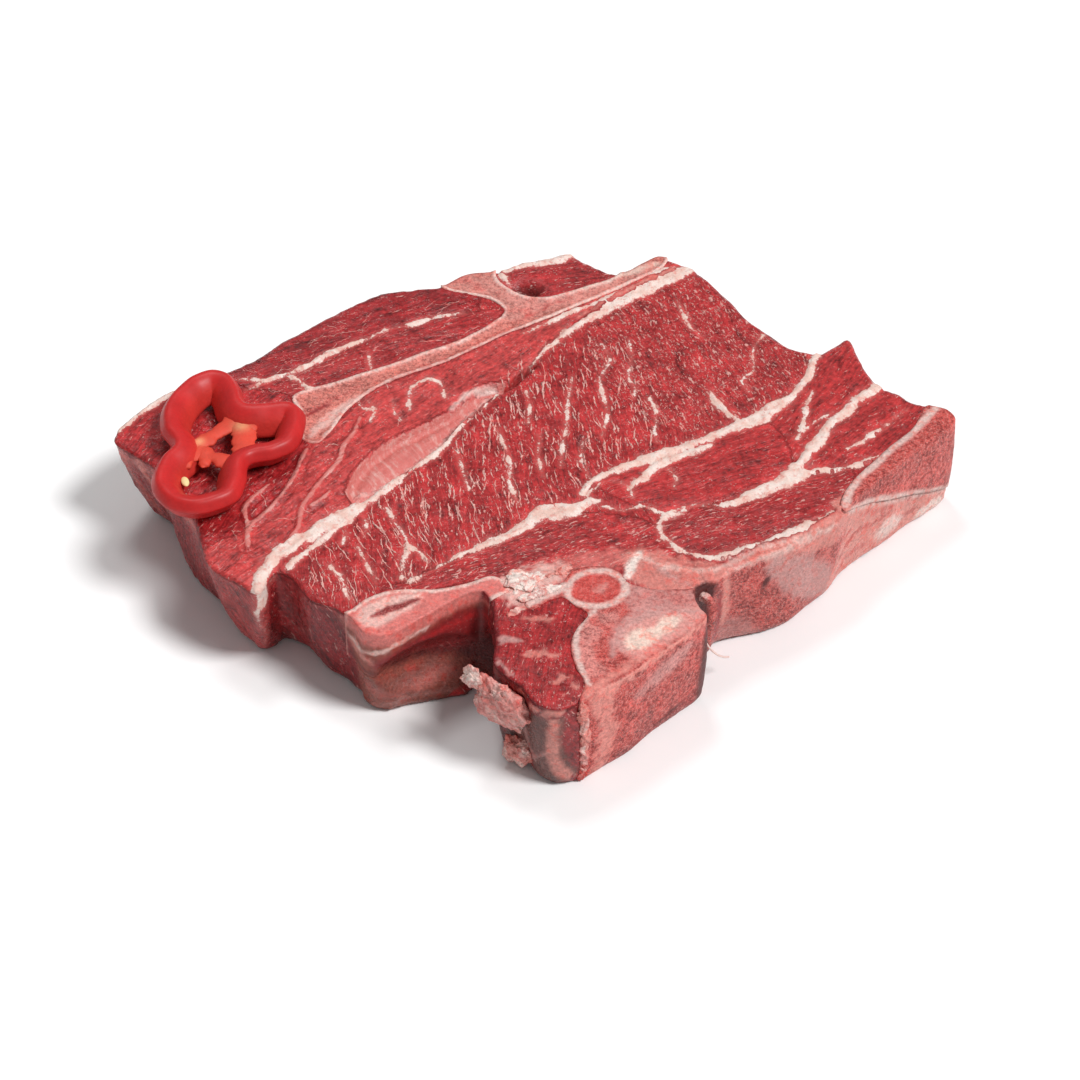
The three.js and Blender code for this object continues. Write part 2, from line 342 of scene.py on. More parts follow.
ZONES: dict[str, Zone] = {
    "over_blade": Zone([(-38, 110), (-66, 100), (-86, 90), (-108, 76), (-126, 63), (-144, 53), (-160, 49),
                        (-185, 62), (-150, 110), (-90, 145), (-45, 145), (-30, 122)], 0.32, 0.0, 28, 0.35),
    "under_seam": Zone([(-38, 110), (-66, 100), (-86, 90), (-108, 76), (-126, 63), (-144, 53), (-122, 45),
                        (-102, 55), (-60, 76), (-22, 103), (-19, 112)], 0.5, 0.05, 28, 0.45),
    "left_end": Zone([(-144, 53), (-124, 46), (-114, 15), (-118, -10), (-131, -38), (-139, -60), (-170, -50),
                      (-215, 10), (-185, 66)], 0.62, 0.0, 60, 0.4),
    "inner_blade": Zone([(-113, 11), (-97, 29), (-83, 50), (-51, 70), (-10, 98), (23, 118), (62, 150),
                         (82, 148), (50, 128), (6, 90), (-7, 66), (-26, 42), (-50, 3), (-90, -37),
                         (-125, -68), (-132, -96), (-165, -70), (-137, -46), (-118, -12)], 0.75, 0.3, 48, 0.16),
    "front_shoulder": Zone([(-26, 142), (-18, 129), (-3, 122), (13, 124), (40, 140), (20, 165), (-20, 160)],
                           0.45, 0.05, 15, 0.6),
    "neck": Zone([(82, 150), (50, 124), (24, 98), (30, 60), (66, 22), (100, 30), (127, 52), (142, 82),
                  (112, 110)], 0.6, 0.05, 112, 1.0, 1.5),
    "right_inner": Zone([(100, 27), (127, 50), (140, 82), (156, 95), (169, 54), (150, 33), (135, 10), (122, -4),
                         (108, 12)], 0.7, 0.1, 56, 0.45),
    "right_outer": Zone([(167, 56), (206, 40), (182, 20), (161, -3), (150, -5), (126, -8), (135, 12), (150, 34)],
                        0.65, 0.1, 48, 0.45),
    "back_eye": Zone([(25, -16), (39, -6), (67, 9), (90, 21), (110, 28), (122, 0), (118, -12), (100, -26),
                      (80, -32), (60, -37)], 0.78, 0.05, 24, 0.22),
    "low_eye": Zone([(60, -37), (90, -32), (110, -20), (150, -5), (146, -26), (128, -46), (110, -56), (82, -67),
                     (64, -60), (55, -46)], 0.45, 0.05, 24, 0.75),
    "rib_strip": Zone([(-76, -92), (-50, -74), (-20, -56), (0, -40), (20, -36), (55, -45), (64, -66), (35, -73),
                       (10, -75), (-20, -80), (-50, -88)], 0.6, 0.06, 26, 0.85),
    "block": Zone([(-30, -100), (4, -88), (20, -103), (15, -124), (22, -150), (30, -170), (-30, -170)],
                  0.42, 0.04, 80, 0.5),
}
CHEST = Zone([], 0.62, 0.05, 100, 0.7, 5.0)

# Fat between and beside the muscles: x, y, half width
FAT_SEAMS: dict[str, Stations] = {
    "chest_top": [(78, 146, 4), (66, 140, 6), (54, 131, 6.4), (44, 123, 5.8), (34, 115, 4.6), (24, 106, 3.2),
                  (14, 96, 2.2), (6, 86, 1.6), (0, 77, 1.2), (-6, 68, 0.9)],
    "chest_mid": [(-14, 54, 0.9), (-26, 42, 1.2), (-36, 29, 1.3), (-50, 5, 1.6), (-64, -10, 1.8), (-76, -23, 2.3),
                  (-90, -36, 3.2), (-102, -47, 3.8), (-114, -57, 4), (-123, -66, 3.6), (-129, -78, 3.2),
                  (-131, -90, 3)],
    "chest_fan": [(-84, -33, 1.5), (-98, -50, 2.4), (-108, -62, 2), (-117, -73, 1.4)],
    "over_seam": [(-38, 110, 0.6), (-47, 108, 1.0), (-58, 104, 1.3), (-66, 100, 1.3), (-77, 96, 1.2), (-86, 90, 1.2),
                  (-99, 82, 1.4), (-108, 76, 1.2), (-117, 69, 1.4), (-126, 63, 1.2), (-135, 59, 1.0),
                  (-146, 52, 0.8)],
    "over_fork": [(-124, 61, 1.6), (-119, 57, 1.4), (-114, 51, 1.8)],
    "over_twig": [(-150, 60, 0.7), (-143, 59, 0.9), (-136, 58.5, 0.9)],
    "left_rim": [(-206, 20, 1), (-201, 30, 2.4), (-194, 38, 2.6), (-186, 46, 2.2), (-176, 54, 1)],
    "shoulder_cap": [(-19, 144, 1.6), (-8, 149, 2.8), (4, 152.5, 3.4), (15, 157, 2.8)],
    "shoulder_rim": [(-20, 140, 1.2), (-15, 131, 1), (-8, 126.5, 0.8)],
    "low_chest": [(-60, -82, 0.6), (-50, -75, 1), (-40, -67, 1.4), (-20, -55, 2.2), (-7, -45, 3), (1, -37, 4.6),
                  (10, -34, 3.4), (20, -32, 1.6)],
    "mid_lobe": [(-1, -37.7, 2.2), (7, -37.7, 4.4), (16, -34.6, 4.0), (22, -29.9, 2.6), (29, -28.3, 1.2)],
    "mid_thin": [(30, -32.1, 0.8), (39, -34.6, 1.2), (48, -32.1, 0.9), (55, -35.2, 1.3), (63, -37.7, 1.0), (69, -34.0, 0.7)],
    "mid_lace": [(22, -25.2, 0.6), (29, -17.3, 0.9), (36, -15.7, 0.8), (43, -20.5, 1.0), (44, -26.8, 0.6)],
    "mid_line": [(20, -24, 1), (25, -16, 1.6), (39, -6, 2.6), (52, 1, 3.2), (67, 9, 2.2), (80, 15, 2.2),
                 (90, 21, 3.2), (100, 26, 4.2), (112, 35, 3.9), (120, 42, 3), (127, 50, 2.2), (133, 60, 1.8),
                 (136, 70, 1.6), (139, 80, 1.8)],
    "mid_branch": [(82, 10, 2), (67, 2.5, 2.6), (56, -4, 3), (49, -13, 2.4), (42, -21, 1.4)],
    "mid_prong": [(62, -6, 1.3), (65, -12, 1), (64, -19, 0.6)],
    "right_bar": [(168, 55, 2.4), (157, 44, 2.9), (150, 34, 2.9), (140, 22, 2.8), (135, 12, 3), (129, 2.5, 3),
                  (123, -6, 3.6)],
    "low_bar": [(164, 3, 0.8), (156, -1, 1.3), (150, -4, 1.7), (140, -6.5, 1.9), (132, -8, 3), (122, -12, 4.8),
                (112, -19, 3.8), (102, -25, 3), (92, -31, 2), (80, -32, 1), (70, -32, 0.8), (61, -36, 0.8)],
    "eye_hook": [(61, -36, 0.8), (56.5, -43, 1), (57, -50, 1.2), (62, -57, 1.2), (69, -63, 1.4), (82, -66.5, 1.6)],
    "eye_under": [(147, -28, 1.2), (138, -38, 2.2), (130, -44, 3), (121, -50, 3.4), (110, -55.5, 3.2), (100, -60, 2.8),
                  (90, -64, 2.4), (78, -68, 1.6)],
    "right_twig": [(135, 50, 0.5), (131, 36, 0.9), (128, 22, 0.9), (125, 14, 0.5)],
    "right_twig_low": [(144, 34, 0.4), (133, 25, 0.7), (124, 14, 0.9)],
    "right_twig_out": [(180, 37, 0.4), (167, 24, 0.8), (157, 14, 0.8), (149, 8, 0.5)],
    "neck_twig": [(84, 50, 0.8), (86, 43, 1.1), (91, 36, 1.4), (97, 29, 1.8)],
    "blade_under": [(63, 146, 0.8), (50, 133, 1.2), (36, 123, 1), (22, 114, 0.8), (8, 106, 0.7), (-8, 95, 0.6)],
}
# Veins of fat within the muscles, which the torn edge of the fat breaks into dashes
VEINS: dict[str, Stations] = {
    "neck_top": [(70, 120, 0.5), (73, 107, 0.9), (76, 98, 0.9), (83, 89, 0.5)],
    "neck_right": [(113, 93, 0.5), (107, 81, 0.9), (106, 65, 0.9), (100, 57, 0.9), (103, 50, 0.5)],
    "neck_long": [(31, 86, 0.6), (35, 74, 1.0), (30, 60, 1.0), (31, 46, 1.0), (33, 33, 1.0), (30, 17, 0.6)],
    "neck_middle": [(45, 89, 0.5), (46, 74, 0.9), (44, 63, 0.9), (47, 53, 0.9), (46, 45, 0.5)],
    "neck_low": [(54, 45, 0.5), (57, 33, 0.9), (56, 23, 0.9), (57, 13, 0.5)],
    "neck_left": [(16, 60, 0.6), (14, 43, 1.0), (13, 26, 1.0), (11, 10, 1.0), (10, -6, 0.6)],
    "chest_long": [(-21, 23, 0.7), (-17, 7, 1.2), (-14, -6, 1.2), (-15, -16, 1.2), (-10, -31, 0.7)],
    "chest_short": [(21, 13, 0.5), (20, 0, 0.9), (24, -13, 0.5)],
    "chest_mark": [(-7, 50, 0.6), (-5, 40, 1.0), (-6, 26, 0.6)],
    "chest_side": [(-40, 7, 0.7), (-37, -9, 1.1), (-34, -22, 0.7)],
    "chest_dash": [(0, 17, 0.6), (-1, 3, 1.0), (2, -13, 0.6)],
    "left_arc": [(-73, -34, 0.7), (-69, -42, 1.2), (-65, -50, 1.2), (-62, -60, 1.2), (-64, -71, 1.2),
                 (-64, -81, 0.7)],
    "left_dash": [(-84, -38, 0.6), (-82, -45, 1.0), (-83, -53, 0.6)],
    "left_low": [(-98, -73, 0.6), (-92, -81, 1.0), (-89, -91, 1.0), (-86, -96, 0.6)],
    "left_slope": [(-85, -60, 0.5), (-80, -73, 0.9), (-76, -83, 0.5)],
    "left_join": [(-64, -58, 0.5), (-57, -63, 0.9), (-51, -71, 0.5)],
    "left_mark": [(-95, -45, 0.5), (-91, -50, 0.9), (-93, -58, 0.5)],
    "loop_over": [(-63, 53, 0.5), (-57, 59, 0.9), (-50, 57, 0.9), (-47, 46, 0.5)],
    "loop_drop": [(-63, 55, 0.5), (-65, 45, 0.9), (-64, 36, 0.5)],
    "star_side": [(-90, 46, 0.5), (-87, 38, 0.8), (-81, 36, 0.5)],
    "star_down": [(-85, 43, 0.5), (-81, 36, 0.8), (-83, 28, 0.5)],
    "star_far": [(-73, 43, 0.5), (-71, 33, 0.8), (-68, 28, 0.5)],
    "under_drop": [(-86, 79, 0.5), (-85, 70, 0.8), (-83, 60, 0.5)],
}
VALLEY: Stations = [(-14, 56), (-29, 54), (-40, 40), (-58, 24), (-72, 14), (-82, 2), (-90, -12), (-92, -26),
                    (-86, -31), (-76, -21), (-64, -8), (-50, 7), (-37, 29), (-27, 42)]
GAP_PATH: Stations = [(-3, 70, 1), (-8, 64, 2), (-14, 56, 2.4), (-19, 50, 1.4)]
INNER_LINES: dict[str, Stations] = {
    "long": [(-88, 30, 0.4), (-90, 20, 0.6), (-95, 8, 0.8), (-97, -3, 0.7), (-103, -14, 0.6), (-109, -26, 0.8),
             (-113, -36, 0.7), (-114, -48, 0.6), (-118, -56, 0.4)],
    "outer": [(-113, 6, 0.3), (-115, -1, 0.5), (-118, -14, 0.5), (-124, -28, 0.6), (-131, -39, 0.8),
              (-137, -47, 0.8), (-137, -60, 0.7)],
    "fork": [(-130, -19, 0.4), (-136, -27, 0.8), (-140, -34, 0.7), (-138, -45, 0.6)],
    "tick": [(-100, -24, 0.3), (-105, -31, 0.5), (-109, -34, 0.3)],
}
BONE_LOOPS: dict[str, Stations] = {
    "blade": [(-122, 45.6), (-102, 56), (-83, 65), (-61, 77), (-41, 88), (-22, 104), (-18, 111), (-25, 120),
              (-35, 124), (-50, 130), (-56, 146), (-24, 156), (-22, 136), (-11, 124), (3, 122), (23, 130),
              (40, 140), (42, 158), (66, 166), (65, 149), (50, 136), (23, 118), (-10, 98), (-30, 85),
              (-51, 70), (-70, 60), (-83, 50), (-94, 37), (-102, 19), (-108, 10), (-116, 14), (-117, 32)],
    "rib": [(-87, -101), (-80, -94), (-70, -89), (-60, -88), (-48, -88), (-34, -85), (-22, -80), (-14, -88),
            (-30, -100), (-50, -116), (-72, -130), (-90, -126), (-98, -108)],
    "vertebra": [(-7, -97), (2, -90), (11, -83), (15, -76), (26, -73), (36, -76), (41, -84), (52, -88), (64, -88),
                 (84, -88), (90, -110), (60, -146), (22, -176), (17, -160), (20, -148), (16, -137), (14, -124),
                 (17, -113), (22, -104), (16, -98), (10, -93), (3, -96), (-4, -101)],
    "feather": [(193, 42), (182, 23), (170, 10), (161, -1), (152, -12), (145, -24), (143, -33), (152, -44),
                (180, -20), (214, 22), (208, 44)],
}


def layer_distances(points: Array) -> dict[str, Array]:
    """Measure how far plan points lie from the fat, the silver skin, the bones and the openings.

    Args:
        points: plan points, mm.

    Returns:
        One distance array a layer, negative inside the layer.
    """
    def nearest(groups: list[Stations]) -> Array:
        found = [clearance(points, smooth_path(g, 1.2, False), False) for g in groups]
        return np.min(found, axis=0)

    bones = [signed_clearance(points, smooth_path(loop, 1.5, True)) for loop in BONE_LOOPS.values()]
    x, y = points.T
    wander = 1.4 * MIDDLE.layers(x, y, 3.0, 9, 4)
    return {
        "fat": np.minimum(nearest(list(FAT_SEAMS.values())) + wander + 0.15,
                          nearest(list(VEINS.values())) + 0.6 * wander + 0.5),
        "line": nearest(list(INNER_LINES.values())),
        "valley": signed_clearance(points, smooth_path(VALLEY, 1.5, True)),
        "gap": clearance(points, smooth_path(GAP_PATH, 1.2, False), False),
        "bone": np.min(bones, axis=0),
    }


def muscle_values(points: Array) -> dict[str, Array]:
    """Return the muscle's tone, pinkness, fibre direction, marbling and streak length at plan points."""
    names = ("tone", "pink", "turn", "marble", "streak")
    values = {key: np.full(len(points), float(getattr(CHEST, key))) for key in names}
    for zone in ZONES.values():
        hit = inside(points, smooth_path(zone.outline, 3, True))
        for key, data in values.items():
            data[hit] = getattr(zone, key)
    return values


def fibre_frame(points: Array, turn: Array) -> Array:
    """Return coordinates along and across the muscle fibres, and height, for each point."""
    angle = np.radians(turn)
    along = points[:, 0] * np.cos(angle) + points[:, 1] * np.sin(angle)
    across = points[:, 1] * np.cos(angle) - points[:, 0] * np.sin(angle)
    across = across + 2.5 * MIDDLE.at(points[:, 0] / 22, points[:, 1] / 22)
    return np.stack([along, across, points[:, 2]], axis=1) * MM


def swell_height(points: Array) -> Array:
    """Return the broad height of the cut face at plan points, mm, without seams or grain."""
    x, y = points[:, 0], points[:, 1]
    rise = np.full(len(points), HEIGHT)
    for cx, cy, length, width, turn, swell in SWELLS:
        c, s = math.cos(math.radians(turn)), math.sin(math.radians(turn))
        u, v = ((x - cx) * c + (y - cy) * s) / length, ((y - cy) * c - (x - cx) * s) / width
        rise += swell * np.exp(-(u * u + v * v) * 1.4)
    return rise + 0.7 * COARSE.layers(x, y, 0, 30, 2)


def cut_height(points: Array, layers: dict[str, Array], rim: Array, fibres: Array) -> Array:
    """Return the height of the cut face at plan points.

    Args:
        points: plan points, mm.
        layers: distances from layer_distances.
        rim: distance inside the slab's edge, mm.
        fibres: fibre coordinates, m.

    Returns:
        Heights, mm.
    """
    x, y = points[:, 0], points[:, 1]
    rise = swell_height(points)
    fat = layers["fat"]
    rise += -0.9 * np.exp(-np.maximum(fat, 0) / 2.0) + smooth_step(0.4, -1.2, fat) * (
        1.5 + 0.5 * MIDDLE.layers(x, y, 0, 5))
    rise += 0.7 * np.exp(-np.maximum(layers["line"], 0) / 0.9) - 0.9 * np.exp(-((layers["line"] - 2.2) / 1.2) ** 2)
    rise -= 4.8 * smooth_step(0.6, -2.6, layers["valley"]) - 1.8 * smooth_step(-2.6, -8.0, layers["valley"])
    rise -= 9.0 * smooth_step(0.8, -1.6, layers["gap"])
    rise -= 8.0 * np.exp(-(((x + 7) / 7.0) ** 2 + ((y - 128) / 4.5) ** 2))
    rise -= 2.5 * np.exp(-(((x - 122) / 2.0) ** 2 + ((y - 0) / 1.6) ** 2))
    rise += 0.4 * MIDDLE.layers(x, y, 0, 8, 2)
    rise += 0.30 * FINE.at(fibres[:, 0] / 0.014, fibres[:, 1] / 0.0026)
    rise += 0.24 * FINE.layers(x, y, 0, 2.6, 2)
    rise -= 1.0 * np.exp(-np.maximum(rim, 0) / 0.9)
    return rise - 4.0 * smooth_step(-0.4, -2.0, layers["bone"])


class Tint(Enum):
    """Colours of the meat, bone and pepper, linear, with painted shade for the walls and for holes and slits."""

    MUSCLE_DARK = (0.21, 0.011, 0.014)
    MUSCLE_BRIGHT = (0.43, 0.022, 0.024)
    MUSCLE_PINK = (0.58, 0.10, 0.09)
    # Painted shade, laid over every cut wall
    WALL_SHADE = (0.14, 0.014, 0.016)
    WINE = (0.24, 0.018, 0.022)
    LILAC = (0.14, 0.050, 0.042)
    LILAC_PALE = (0.52, 0.27, 0.25)
    FAT = (0.74, 0.50, 0.43)
    FAT_WHITE = (0.80, 0.66, 0.60)
    FAT_PINK = (0.66, 0.25, 0.21)
    SILVER = (0.60, 0.165, 0.145)
    FLECK = (0.76, 0.42, 0.37)
    BONE = (0.50, 0.145, 0.115)
    BONE_PALE = (0.72, 0.47, 0.42)
    CORTEX = (0.64, 0.43, 0.39)
    MARROW = (0.50, 0.06, 0.05)
    SPONGY = (0.44, 0.060, 0.050)
    SPONGY_DARK = (0.24, 0.022, 0.022)
    SPONGY_PALE = (0.64, 0.27, 0.24)
    DISC = (0.74, 0.54, 0.46)
    DISC_PINK = (0.64, 0.27, 0.24)
    # Painted shade: near-black for holes, slits and recesses
    HOLE_SHADE = (0.09, 0.012, 0.011)
    MEMBRANE = (0.27, 0.065, 0.045)
    PEPPER = (0.50, 0.016, 0.016)
    PEPPER_FLESH = (0.60, 0.055, 0.03)
    PEPPER_PITH = (0.74, 0.36, 0.18)

    @property
    def rgb(self) -> Array:
        """The colour as an array."""
        return np.array(self.value)


@dataclass
class Canvas:
    """What each vertex of a piece shows: its colour, and how much of each grain lies over it."""

    paint: Array
    flesh: Array
    marble: Array
    spongy: Array
    fat: Array
    skin: Array

    @classmethod
    def plain(cls, count: int, tint: Tint) -> "Canvas":
        """Return a canvas of one colour with no grain."""
        zeros, far = np.zeros(count), np.full(count, 14.0)
        return cls(np.tile(tint.rgb, (count, 1)), zeros, zeros.copy(), zeros.copy(), far, far.copy())

    def store(self, piece: bpy.types.Object, grain: Array) -> None:
        """Write the canvas and the direction of the grain on a piece's vertices."""
        write_values(piece, {"paint": self.paint, "flesh": self.flesh, "marble": self.marble,
                             "spongy": self.spongy, "fat": self.fat, "skin": self.skin, "grain": grain})


@dataclass(frozen=True)
class Patch:
    """A field of colour on a face, drawn as a closed outline or as a line with a half width."""

    tint: Tint
    path: Stations
    closed: bool = True
    blur: float = 0.9
    ragged: float = 0.9
    flesh: float = 0.0
    spongy: float = 0.0
    strength: float = 1.0

    def weight(self, places: Array) -> Array:
        """Return how strongly the patch covers each place on its face."""
        path = smooth_path(self.path, 1.5, self.closed)
        away = signed_clearance(places, path) if self.closed else clearance(places, path, False)
        away = away + self.ragged * MIDDLE.layers(places[:, 0], places[:, 1], 0, 4.0, 3)
        return self.strength * smooth_step(self.blur, -self.blur, away)

    def apply(self, canvas: Canvas, places: Array, where: Array) -> None:
        """Lay the patch on the vertices of a canvas.

        Args:
            canvas: the canvas of the piece.
            places: for each chosen vertex, its place on the face.
            where: indices of the chosen vertices.
        """
        w = self.weight(places)
        canvas.paint[where] += (self.tint.rgb - canvas.paint[where]) * w[:, None]
        for name, goal in (("flesh", self.flesh), ("spongy", self.spongy)):
            data = getattr(canvas, name)
            data[where] += (goal - data[where]) * w
        for name in ("fat", "skin"):
            data = getattr(canvas, name)
            data[where] += (14 - data[where]) * w


@dataclass(frozen=True)
class Face:
    """An upright face seen from the front, with distance along it and height as its coordinates."""

    start: tuple[float, float]
    end: tuple[float, float]
    reach: float
    patches: tuple[Patch, ...]
    facing: float = 0.3

    def dress(self, canvas: Canvas, points: Array, normals: Array) -> None:
        """Lay the face's patches on the vertices that look its way."""
        start, end = np.array(self.start, float), np.array(self.end, float)
        length = np.linalg.norm(end - start)
        along = (end - start) / length
        front = np.array([along[1], -along[0]])
        s = (points[:, :2] - start) @ along
        depth = (points[:, :2] - start) @ front
        where = np.flatnonzero((normals[:, :2] @ front > self.facing) & (abs(depth) < self.reach)
                               & (s > -6) & (s < length + 6))
        places = np.stack([s[where], points[where, 2]], axis=1)
        for patch in self.patches:
            patch.apply(canvas, places, where)


def vertex_normals(piece: bpy.types.Object) -> Array:
    """Return the normals of a piece's vertices."""
    data = np.zeros(len(piece.data.vertices) * 3, np.float32)
    piece.data.vertex_normals.foreach_get("vector", data)
    return data.reshape(-1, 3).astype(float)


def edge_loop(spacing: float) -> Array:
    """Return the slab's edge, counter-clockwise.

    Args:
        spacing: distance between samples, mm.

    Returns:
        Rows of x, y, undercut, raggedness, and the broad outward direction.
    """
    sawn = {"sawn_right": 0.25, "block": 0.2, "canal": 0.5}
    stations = [(*p, sawn.get(name, 1.0)) for name, run in EDGE.items() for p in run]
    loop = counter_clockwise(smooth_path(stations, spacing, True))
    return np.hstack([loop, outward(loop, round(21 / spacing))])


def clip_to_edge(region: Stations, edge: Array, spacing: float, proud: float) -> Array:
    """Cut a region's outline off at the slab's edge.

    Args:
        region: stations of a loop that may run past the edge.
        edge: the slab's own loop from edge_loop.
        spacing: distance between samples of the region, mm.
        proud: how far the result stands outside the edge, mm.

    Returns:
        A loop like the edge's, with no undercut where it runs inside the slab.
    """
    loop = counter_clockwise(smooth_path(region, spacing, True))
    loop = np.hstack([loop, np.zeros((len(loop), 4))])
    rim = edge.copy()
    rim[:, :2] += outward(edge, 2) * proud

    def runs(path: Array, keep: Array) -> list[Array]:
        if keep.all():
            return [path]
        start = int(np.flatnonzero(~keep)[0])
        path, keep = np.roll(path, -start, axis=0), np.roll(keep, -start)
        cuts = np.flatnonzero(np.diff(keep.astype(int))) + 1
        return [part for part, flag in zip(np.split(path, cuts), np.split(keep, cuts)) if flag[0]]

    clear = clearance(loop[:, :2], rim[:, :2], True, 4) > 0.6 * spacing
    inner = [run for run in runs(loop, inside(loop, rim) & clear) if len(run) > 2]
    outer = [run for run in runs(rim, inside(rim, loop)) if len(run) > 1]
    if not outer:
        return loop
    joined = [inner.pop(0)]
    while inner or len(joined) % 2:
        pool = outer if len(joined) % 2 else inner
        gaps = [np.linalg.norm(run[0, :2] - joined[-1][-1, :2]) for run in pool]
        joined.append(pool.pop(int(np.argmin(gaps))))
    loop = np.vstack(joined)
    steps = range(-6, 7)
    loop[:, 2:] = sum(np.roll(loop[:, 2:], step, axis=0) for step in steps) / len(steps)
    return loop


@dataclass
class Slab:
    """A closed piece with a cut face, walls let down from its edge, and a foot."""

    name: str
    loop: Array
    cell: float
    rows: int
    top: Callable[[Array], Array]
    foot: Callable[[Array], Array]
    dent: Callable[[Array, Array], Array]
    shape: Callable[[Array, Array], Array] = lambda points, directions: points
    foot_cell: float = 3.0
    points: Array = field(default_factory=lambda: np.zeros((0, 3)))
    plan: Array = field(default_factory=lambda: np.zeros((0, 2)))
    walled: Array = field(default_factory=lambda: np.zeros(0, bool))

    def ring(self, crown: Array, low: Array, share: float) -> Array:
        """Return one ring of the wall, at a share of the way up from the foot to the crown."""
        z = low + (crown - low) * share
        t = z / HEIGHT
        cover = np.linalg.norm(self.loop[:, 4:], axis=1)
        shift = cover * 1.4 * np.sin(np.pi * np.clip(t, 0, 1)) - self.loop[:, 2] * (1 - t)
        shift = shift - 1.4 * cover * smooth_step(3.5, 0.0, z)
        plan = self.loop[:, :2] + self.loop[:, 4:] * shift[:, None]
        dent = self.dent(self.loop, z) * math.sin(math.pi * min(0.5, 0.08 + 1.5 * (1 - share)))
        ring = np.column_stack([plan + outward(self.loop, 2) * dent[:, None], z])
        return self.shape(ring, self.loop[:, 4:])

    def build(self) -> bpy.types.Object:
        """Build the mesh and keep each vertex's point, plan place and kind."""
        n = len(self.loop)
        top, tris = fill_plan(self.loop, lattice(self.loop, self.cell, self.cell * 0.6))
        crown = self.top(top)
        low = self.foot(self.loop)
        points, plans, faces = [np.column_stack([top, crown])], [top], [tris]
        previous = np.arange(n)
        quads = []
        for row in range(1, self.rows + 1):
            points.append(self.ring(crown[:n], low, 1 - row / self.rows))
            plans.append(self.loop[:, :2])
            current = len(top) + (row - 1) * n + np.arange(n)
            quads.append(np.column_stack([np.roll(previous, -1), previous, current, np.roll(current, -1)]))
            previous = current
        inner = lattice(points[-1], self.foot_cell, self.foot_cell * 0.5)
        foot_tris = fill_plan(points[-1], inner)[1][:, ::-1] + previous[0]
        points.append(np.column_stack([inner, self.foot(inner)]))
        plans.append(inner)
        self.points, self.plan = np.vstack(points), np.vstack(plans)
        self.walled = np.arange(len(self.points)) >= len(top)
        self.walled[len(self.points) - len(inner):] = False
        return make_object(self.name, self.points, np.vstack(faces + [foot_tris]).tolist()
                           + np.vstack(quads).tolist())


def wall_dent(loop: Array, z: Array) -> Array:
    """Return how far the torn or cut muscle at the edge stands in or out, mm."""
    x, y = loop[:, 0] + 0.35 * z, loop[:, 1]
    lobes = 1.7 * COARSE.layers(x, y, z * 0.35, 26, 2)
    bundles = 0.6 * MIDDLE.at(x / 4.2, y / 4.2, z / 22) + 0.33 * FINE.at(x / 1.9, y / 1.9, z / 11)
    return loop[:, 3] * (lobes + bundles) + 0.22 * FINE.layers(x, y, z, 2.6, 2)


def sawn_dent(loop: Array, z: Array) -> Array:
    """Return the grain of a sawn bone face, mm."""
    return 0.16 * FINE.layers(loop[:, 0], loop[:, 1], z, 2.2, 2)


CHEST_BOWL = ((-44, -115, 27), (36, 17, 17), 20)


def carve_bowl(points: Array, directions: Array) -> Array:
    """Return points pushed inward out of the bowl beneath the rib.

    Args:
        points: points of the wall, mm.
        directions: outward plan direction at each.
    """
    centre, half, turn = np.array(CHEST_BOWL[0], float), np.array(CHEST_BOWL[1], float), math.radians(CHEST_BOWL[2])
    c, s = math.cos(turn), math.sin(turn)
    turned = np.array([[c, s, 0], [-s, c, 0], [0, 0, 1]])
    q = (points - centre) @ turned.T / half
    d = np.column_stack([-directions, np.zeros(len(points))]) @ turned.T / half
    a, b, k = (d * d).sum(1), (q * d).sum(1), (q * q).sum(1) - 1
    deep = np.where((k < 0) & (a > 1e-9), (-b + np.sqrt(np.maximum(b * b - a * k, 0))) / np.maximum(a, 1e-9), 0)
    moved = points.copy()
    moved[:, :2] -= directions * np.minimum(deep, 26)[:, None]
    return moved


